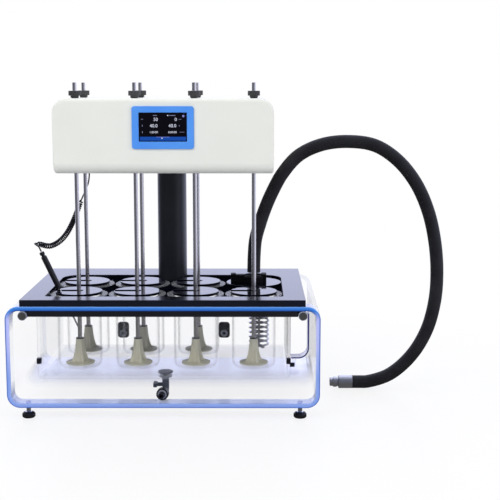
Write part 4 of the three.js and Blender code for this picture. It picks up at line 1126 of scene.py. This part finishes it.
base_low, base_high = box_of("head_base")
screen_low, screen_high = box_of("screen")
lip = 8
mouth = box(
    (base_low[0] + lip, base_low[1] + lip, head_low[2] - lip),
    (base_high[0] - lip, base_high[1] - lip, head_low[2] + casing_wall + 2))
window = box(
    (screen_low[0] - clearance, head_low[1] - lip, screen_low[2] - clearance),
    (screen_high[0] + clearance, head_low[1] + casing_wall + 2, screen_high[2] + clearance))
sleeve_holes = [
    bar(sleeve_radius + 0.8, head_high[2] - 2 * casing_wall, head_high[2] + lip, place=place[:2])
    for place in stations
]
column_hole = bar(
    column_radius + 0.8, head_low[2] - lip, head_low[2] + casing_wall + 2, place=column_at[:2])
make_piece(
    "casing", carve(casing(0.0), casing(casing_wall), mouth, window, column_hole, *sleeve_holes),
    [white_powder_coat], "white_casing", "head_cover", "head", crisp=35)

# %% [markdown]
# ## Screen and frame
# A blue moulded frame lies on the front of the head, and the display's glass sits in it 1 mm back.

# %% Fit the screen
frame_hole = rectangle(screen_low[[0, 2]] - clearance, screen_high[[0, 2]] + clearance, 0.6)
blue_frame = box(*box_of("screen_bezel"), 6, 1.2, upright, [frame_hole], edge_steps=4)
make_piece("blue_frame", blue_frame, [blue_abs], "blue_frame", "screen_bezel", "head")
make_piece(
    "display", box(screen_low, screen_high, 0.4, 0.3, upright), [display_glass], "screen_glass", "screen",
    "head")

# %% [markdown]
# The display shows two columns of plain numbers, small marks beside them and a blue bar with a start
# sign. Numbers are text objects made into meshes, the rest small outlines, placed by shares of the glass.

# %% Light the display's marks
mark_front, mark_thick = screen_low[1] - 0.12, 0.1


def at(x_share, z_share):
    """A place on the glass, from the lower left corner."""
    return (screen_low + (screen_high - screen_low) * (x_share, 0, z_share))[[0, 2]]


def number(x_share, z_share, height, text):
    """The outline of plain digits, centred on a place."""
    curve = bpy.data.curves.new("digits", "FONT")
    curve.body, curve.size = text, 1.0
    curve.align_x, curve.align_y = "CENTER", "CENTER"
    holder = bpy.data.objects.new("digits", curve)
    scene.collection.objects.link(holder)
    points, faces = read_back(holder)
    flat = (points - (points.min(0) + points.max(0)) / 2) * (height / np.ptp(points[:, 1]))
    centre = at(x_share, z_share)
    deep = np.full(len(flat), mark_front)
    return np.column_stack([centre[0] + flat[:, 0], deep, centre[1] + flat[:, 1]]), faces


def mark(outline):
    return slab(outline, mark_front, mark_front + mark_thick, edge=0, axes=upright)


def bar_mark(x_share, z_share, wide, tall):
    half = np.array([wide, tall]) / 2
    return mark(rectangle(at(x_share, z_share) - half, at(x_share, z_share) + half, 0.2, 2))


def light_up(name, finish, *marks):
    make_piece(name, joined(*marks), [finish], "screen_glass", body="head", even=False)


light_up("display_numbers", mark_white, *(number(*row) for row in (
    (0.355, 0.77, 7.2, "50"), (0.772, 0.77, 7.2, "0"), (0.31, 0.55, 7.2, "40.0"), (0.70, 0.55, 7.2, "40.0"),
    (0.315, 0.325, 4.6, "1:00:00"), (0.70, 0.325, 4.6, "0:00:00"))))
start_sign = soften(at(0.485, 0.115) + np.array([(-1.6, 2), (-1.6, -2), (2.2, 0)]), 0.2, 2)
light_up("display_signs", mark_white, mark(start_sign), mark(circle(at(0.605, 0.905), 1.3, 20)))
light_up("display_small_marks", mark_grey, *(bar_mark(*row) for row in (
    (0.07, 0.775, 5, 1.1), (0.075, 0.55, 1.4, 4), (0.075, 0.325, 1.6, 4.4), (0.86, 0.77, 6, 1),
    (0.845, 0.55, 1.2, 3), (0.90, 0.325, 11, 0.9), (0.34, 0.905, 9, 1.6), (0.70, 0.905, 14, 1.6))))
light_up("display_bar", mark_blue, mark(rectangle(at(0.02, 0.03), at(0.985, 0.165))))
lavender_marks = joined(bar_mark(0.5, 0.155, 30, 0.8), mark(circle(at(0.93, 0.885), 2.6, 20)))
light_up("display_lavender_marks", mark_lavender, moved(lavender_marks, (0, -0.03)))

# %% [markdown]
# ## The frame's end caps
# Two turned caps with a pale moulded rim close the ends of the black frame under the sheet. They face
# the user, so the profile is spun about Y.

# %% Turn the caps
for side in ("left", "right"):
    low, high = box_of(f"frame_cap_{side}")
    radius, depth, middle = (high[0] - low[0]) / 2, high[1] - low[1], (low + high) / 2
    profile = [(0, 0), (radius - 1.4, 0), (radius - 0.5, 0), (radius, 0.5), (radius, depth), (0, depth)]
    make_piece(
        f"turned_cap_{side}",
        turned(profile, 72, 0.2, 3, place=(middle[0], low[1], middle[2]), turn=to_rear),
        [turned_steel, pale_pvc], "dark_steel", f"frame_cap_{side}",
        zones=lambda x, y, z: np.hypot(x - middle[0], z - middle[2]) > radius - 1.3)

# %% [markdown]
# ## The drain
# A flanged stem passes through the bath's floor into a small tap. Its outlet points forward and slightly
# to the left, with a ribbed ring and a nozzle. Its handle is a short bar on a spindle at the left.

# %% Build the tap
outlet_height = drain_low[2] + 14
under, over = bath_low[2] - 0.3, bath_floor + 0.3
stem_radius, neck_radius, nut_radius = 8, 6, 15
stem_profile = stepped(
    outlet_height, (stem_radius, under - 3), (nut_radius, under), (neck_radius, over),
    (flange_radius, over + 4))
drain_stem = turned(stem_profile, 72, 0.6, 3, place=drain_at)
outlet_turn = -0.1
to_front = Matrix.Rotation(outlet_turn, 4, "Z") @ Matrix.Rotation(math.pi / 2, 4, "X")


def forward(profile, sides=72, ripple=None):
    """A turned part whose axis runs forward from the stem at the outlet's height."""
    return turned(profile, sides, 0.6, 3, ripple, (*drain_at, outlet_height), to_front)


barrel = forward(stepped(0, (stem_radius, 33)))
ring_profile = [(0, 31), (14, 32), (14, 48), (10.5, 48), (10.5, 46), (0, 46)]
ring = forward(ring_profile, 108, flutes(18, 0.6, lambda r, h: r > 13))
pale_ring = forward([(0, 44), (10.2, 44), (10.2, 48.6), (8, 48.6), (8, 47), (0, 47)])
nozzle = forward([(0, 45), (7, 45), (6.6, 64), (3.8, 64), (3.8, 49), (0, 49)])
make_piece("tap_stem", joined(drain_stem, barrel), [grey_pvc], "grey_plastic", "drain_body")
make_piece("tap_ring", joined(ring, nozzle), [black_abs], "grey_plastic")
make_piece("tap_pale_ring", pale_ring, [pale_pvc], "grey_plastic")

low, high = box_of("drain_lever")
spindle = bar(
    4.5, 0, high[0] - low[0], soft=0.5, steps=3, turn=to_right, place=(low[0], *(low + high)[1:] / 2))
handle_bar = box(low, (low[0] + 9, high[1], high[2]), 4, 1)
make_piece(
    "tap_handle", joined(spindle, handle_bar), [slate_handle], "grey_plastic", "drain_lever",
    "drain_handle")

# %% [markdown]
# ## Ports, coil and holder
# Two moulded ports pass through the bath's rear wall: a flange and a lipped nozzle inside, a fluted nut
# and a barbed hose end outside.

# %% Mould the ports
port_half, port_tall, port_bend, port_thick, nozzle_drop = 14.5, 20.5, 8, 6, 8
port_inside = bath_high[1] - bath_wall - clearance
nut_start = bath_high[1] + clearance
teeth = [(0, 0), (5, 0), (5, 8), (6, 8), (4.8, 13), (6, 13), (4.8, 18), (6, 18), (4.6, 28), (0, 28)]
for side, (x, _, z) in ports.items():
    flange = box(
        (x - port_half, port_inside - port_thick, z - port_tall),
        (x + port_half, port_inside, z + port_tall), port_bend, 1.5, upright, steps=8, edge_steps=4)
    spigot = bar(8, -3, 12, place=(x, port_inside, z), turn=to_rear)
    nut = bar(
        13, 0, 6, 72, soft=0.8, steps=3, ripple=flutes(18, 0.5, lambda r, h: r > 12),
        place=(x, nut_start, z), turn=to_rear)
    barb = turned(teeth, 48, place=(x, nut_start, z), turn=to_rear)
    port = joined(flange, spigot, nut, barb)
    make_piece(f"port_{side}", port, [black_abs], "black_plastic", f"bath_port_{side}")
    lip_ring = turned(
        [(4, -4), (9, -4), (9, 1), (4, 1)], 48, 0.8, 3, turn=to_rear,
        place=(x, port_inside - port_thick, z - nozzle_drop))
    make_piece(f"port_nozzle_{side}", lip_ring, [pale_pvc], "black_plastic")

# %% [markdown]
# In the eighth place a stainless tube is wound into a cooling coil: it comes straight down the middle,
# bends out to the lowest turn, climbs as a helix, and goes straight up into its holder.

# %% Wind the coil
tube_radius, coil_radius, coil_pitch, coil_turns, coil_aside = 2.5, 23, 11.5, 11, 13
half = coil_radius / 2
lowest = bath_floor + 16
angle = np.linspace(0, 2 * np.pi * coil_turns, coil_turns * 40 + 1)
widening = np.clip(0.5 + angle / (2 * np.pi), 0, 1)
helix = np.column_stack([
    coil_radius * widening * np.cos(angle), coil_radius * widening * np.sin(angle),
    lowest + coil_pitch * angle / (2 * np.pi),
])
quarter = np.linspace(0, np.pi / 2, 10)[:-1]
bend_out = 1 - np.stack([np.cos(quarter), 0 * quarter + 1, np.sin(quarter)], axis=1)
bend_out = half * bend_out + (0, 0, lowest)
down = np.column_stack([np.zeros((12, 2)), np.linspace(recess_floor, lowest + half, 13)[:-1]])
helix_top = lowest + coil_pitch * coil_turns
up = np.column_stack([np.full(8, coil_radius), np.zeros(8), np.linspace(helix_top, recess_floor, 9)[1:]])
facing = angle + np.pi / 2 * np.clip(1 - angle / np.pi, 0, 1)
coil_towards = np.vstack([
    np.tile([0.0, 1.0, 0.0], (len(down) + len(bend_out), 1)),
    np.column_stack([np.cos(facing), np.sin(facing), 0 * angle]), np.tile([1.0, 0.0, 0.0], (len(up), 1)),
])
coil = swept(np.vstack([down, bend_out, helix, up]), coil_towards, tube_radius, 14)
make_piece(
    "wound_coil", moved(coil, (coil_axis[0] + coil_aside, coil_axis[1])), [coil_steel], "steel",
    "cooling_coil", even=False, crisp=60)

# %% [markdown]
# The holder closes that place with a disc as wide as a rim. On it a black arm with raised ends carries
# the collar through which the hose passes.

# %% Clamp the hose
holder_foot = box_of("coil_holder")[0][2]
disc_thick = 6
disc_top = holder_foot + disc_thick
disc = slab(circle(coil_axis, rim, 96), holder_foot, disc_top)
make_piece("holder_disc", disc, [polished_black], "black_plate", "coil_holder")
collar_profile = [(0, 0), (27, 0), (27, 15), (22, 19), (0, 19)]
arm_foot = (*coil_axis[:2], disc_top - 0.5)
arm = [
    box(np.array([left, -deep, 0]) + arm_foot, np.array([right, deep, tall + 0.5]) + arm_foot, 4, 1.5)
    for left, right, deep, tall in ((-55, 27, 10, 18.5), (-56.5, -44, 12, 21), (18, 31, 14, 21))
]
collar = turned(collar_profile, 72, 1.2, 3, place=arm_foot)
make_piece("hose_clamp", joined(collar, *arm), [dull_abs], "black_plastic")

# %% [markdown]
# ## The frame's own pieces
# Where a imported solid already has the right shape, it stays and only gets a better finish.

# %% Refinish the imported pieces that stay
stays = {
    "under_frame": black_abs, "head_base": white_powder_coat, "lift_tube": bright_steel,
    "drive_motor": black_powder_coat, "motor_pulley": zinc_plate, "drive_belt": timing_belt,
}
for node_name, finish in stays.items():
    for place in frame["nodes"][node_name].material_slots:
        place.material = finish
print("kept", len(stays), "packed pieces")
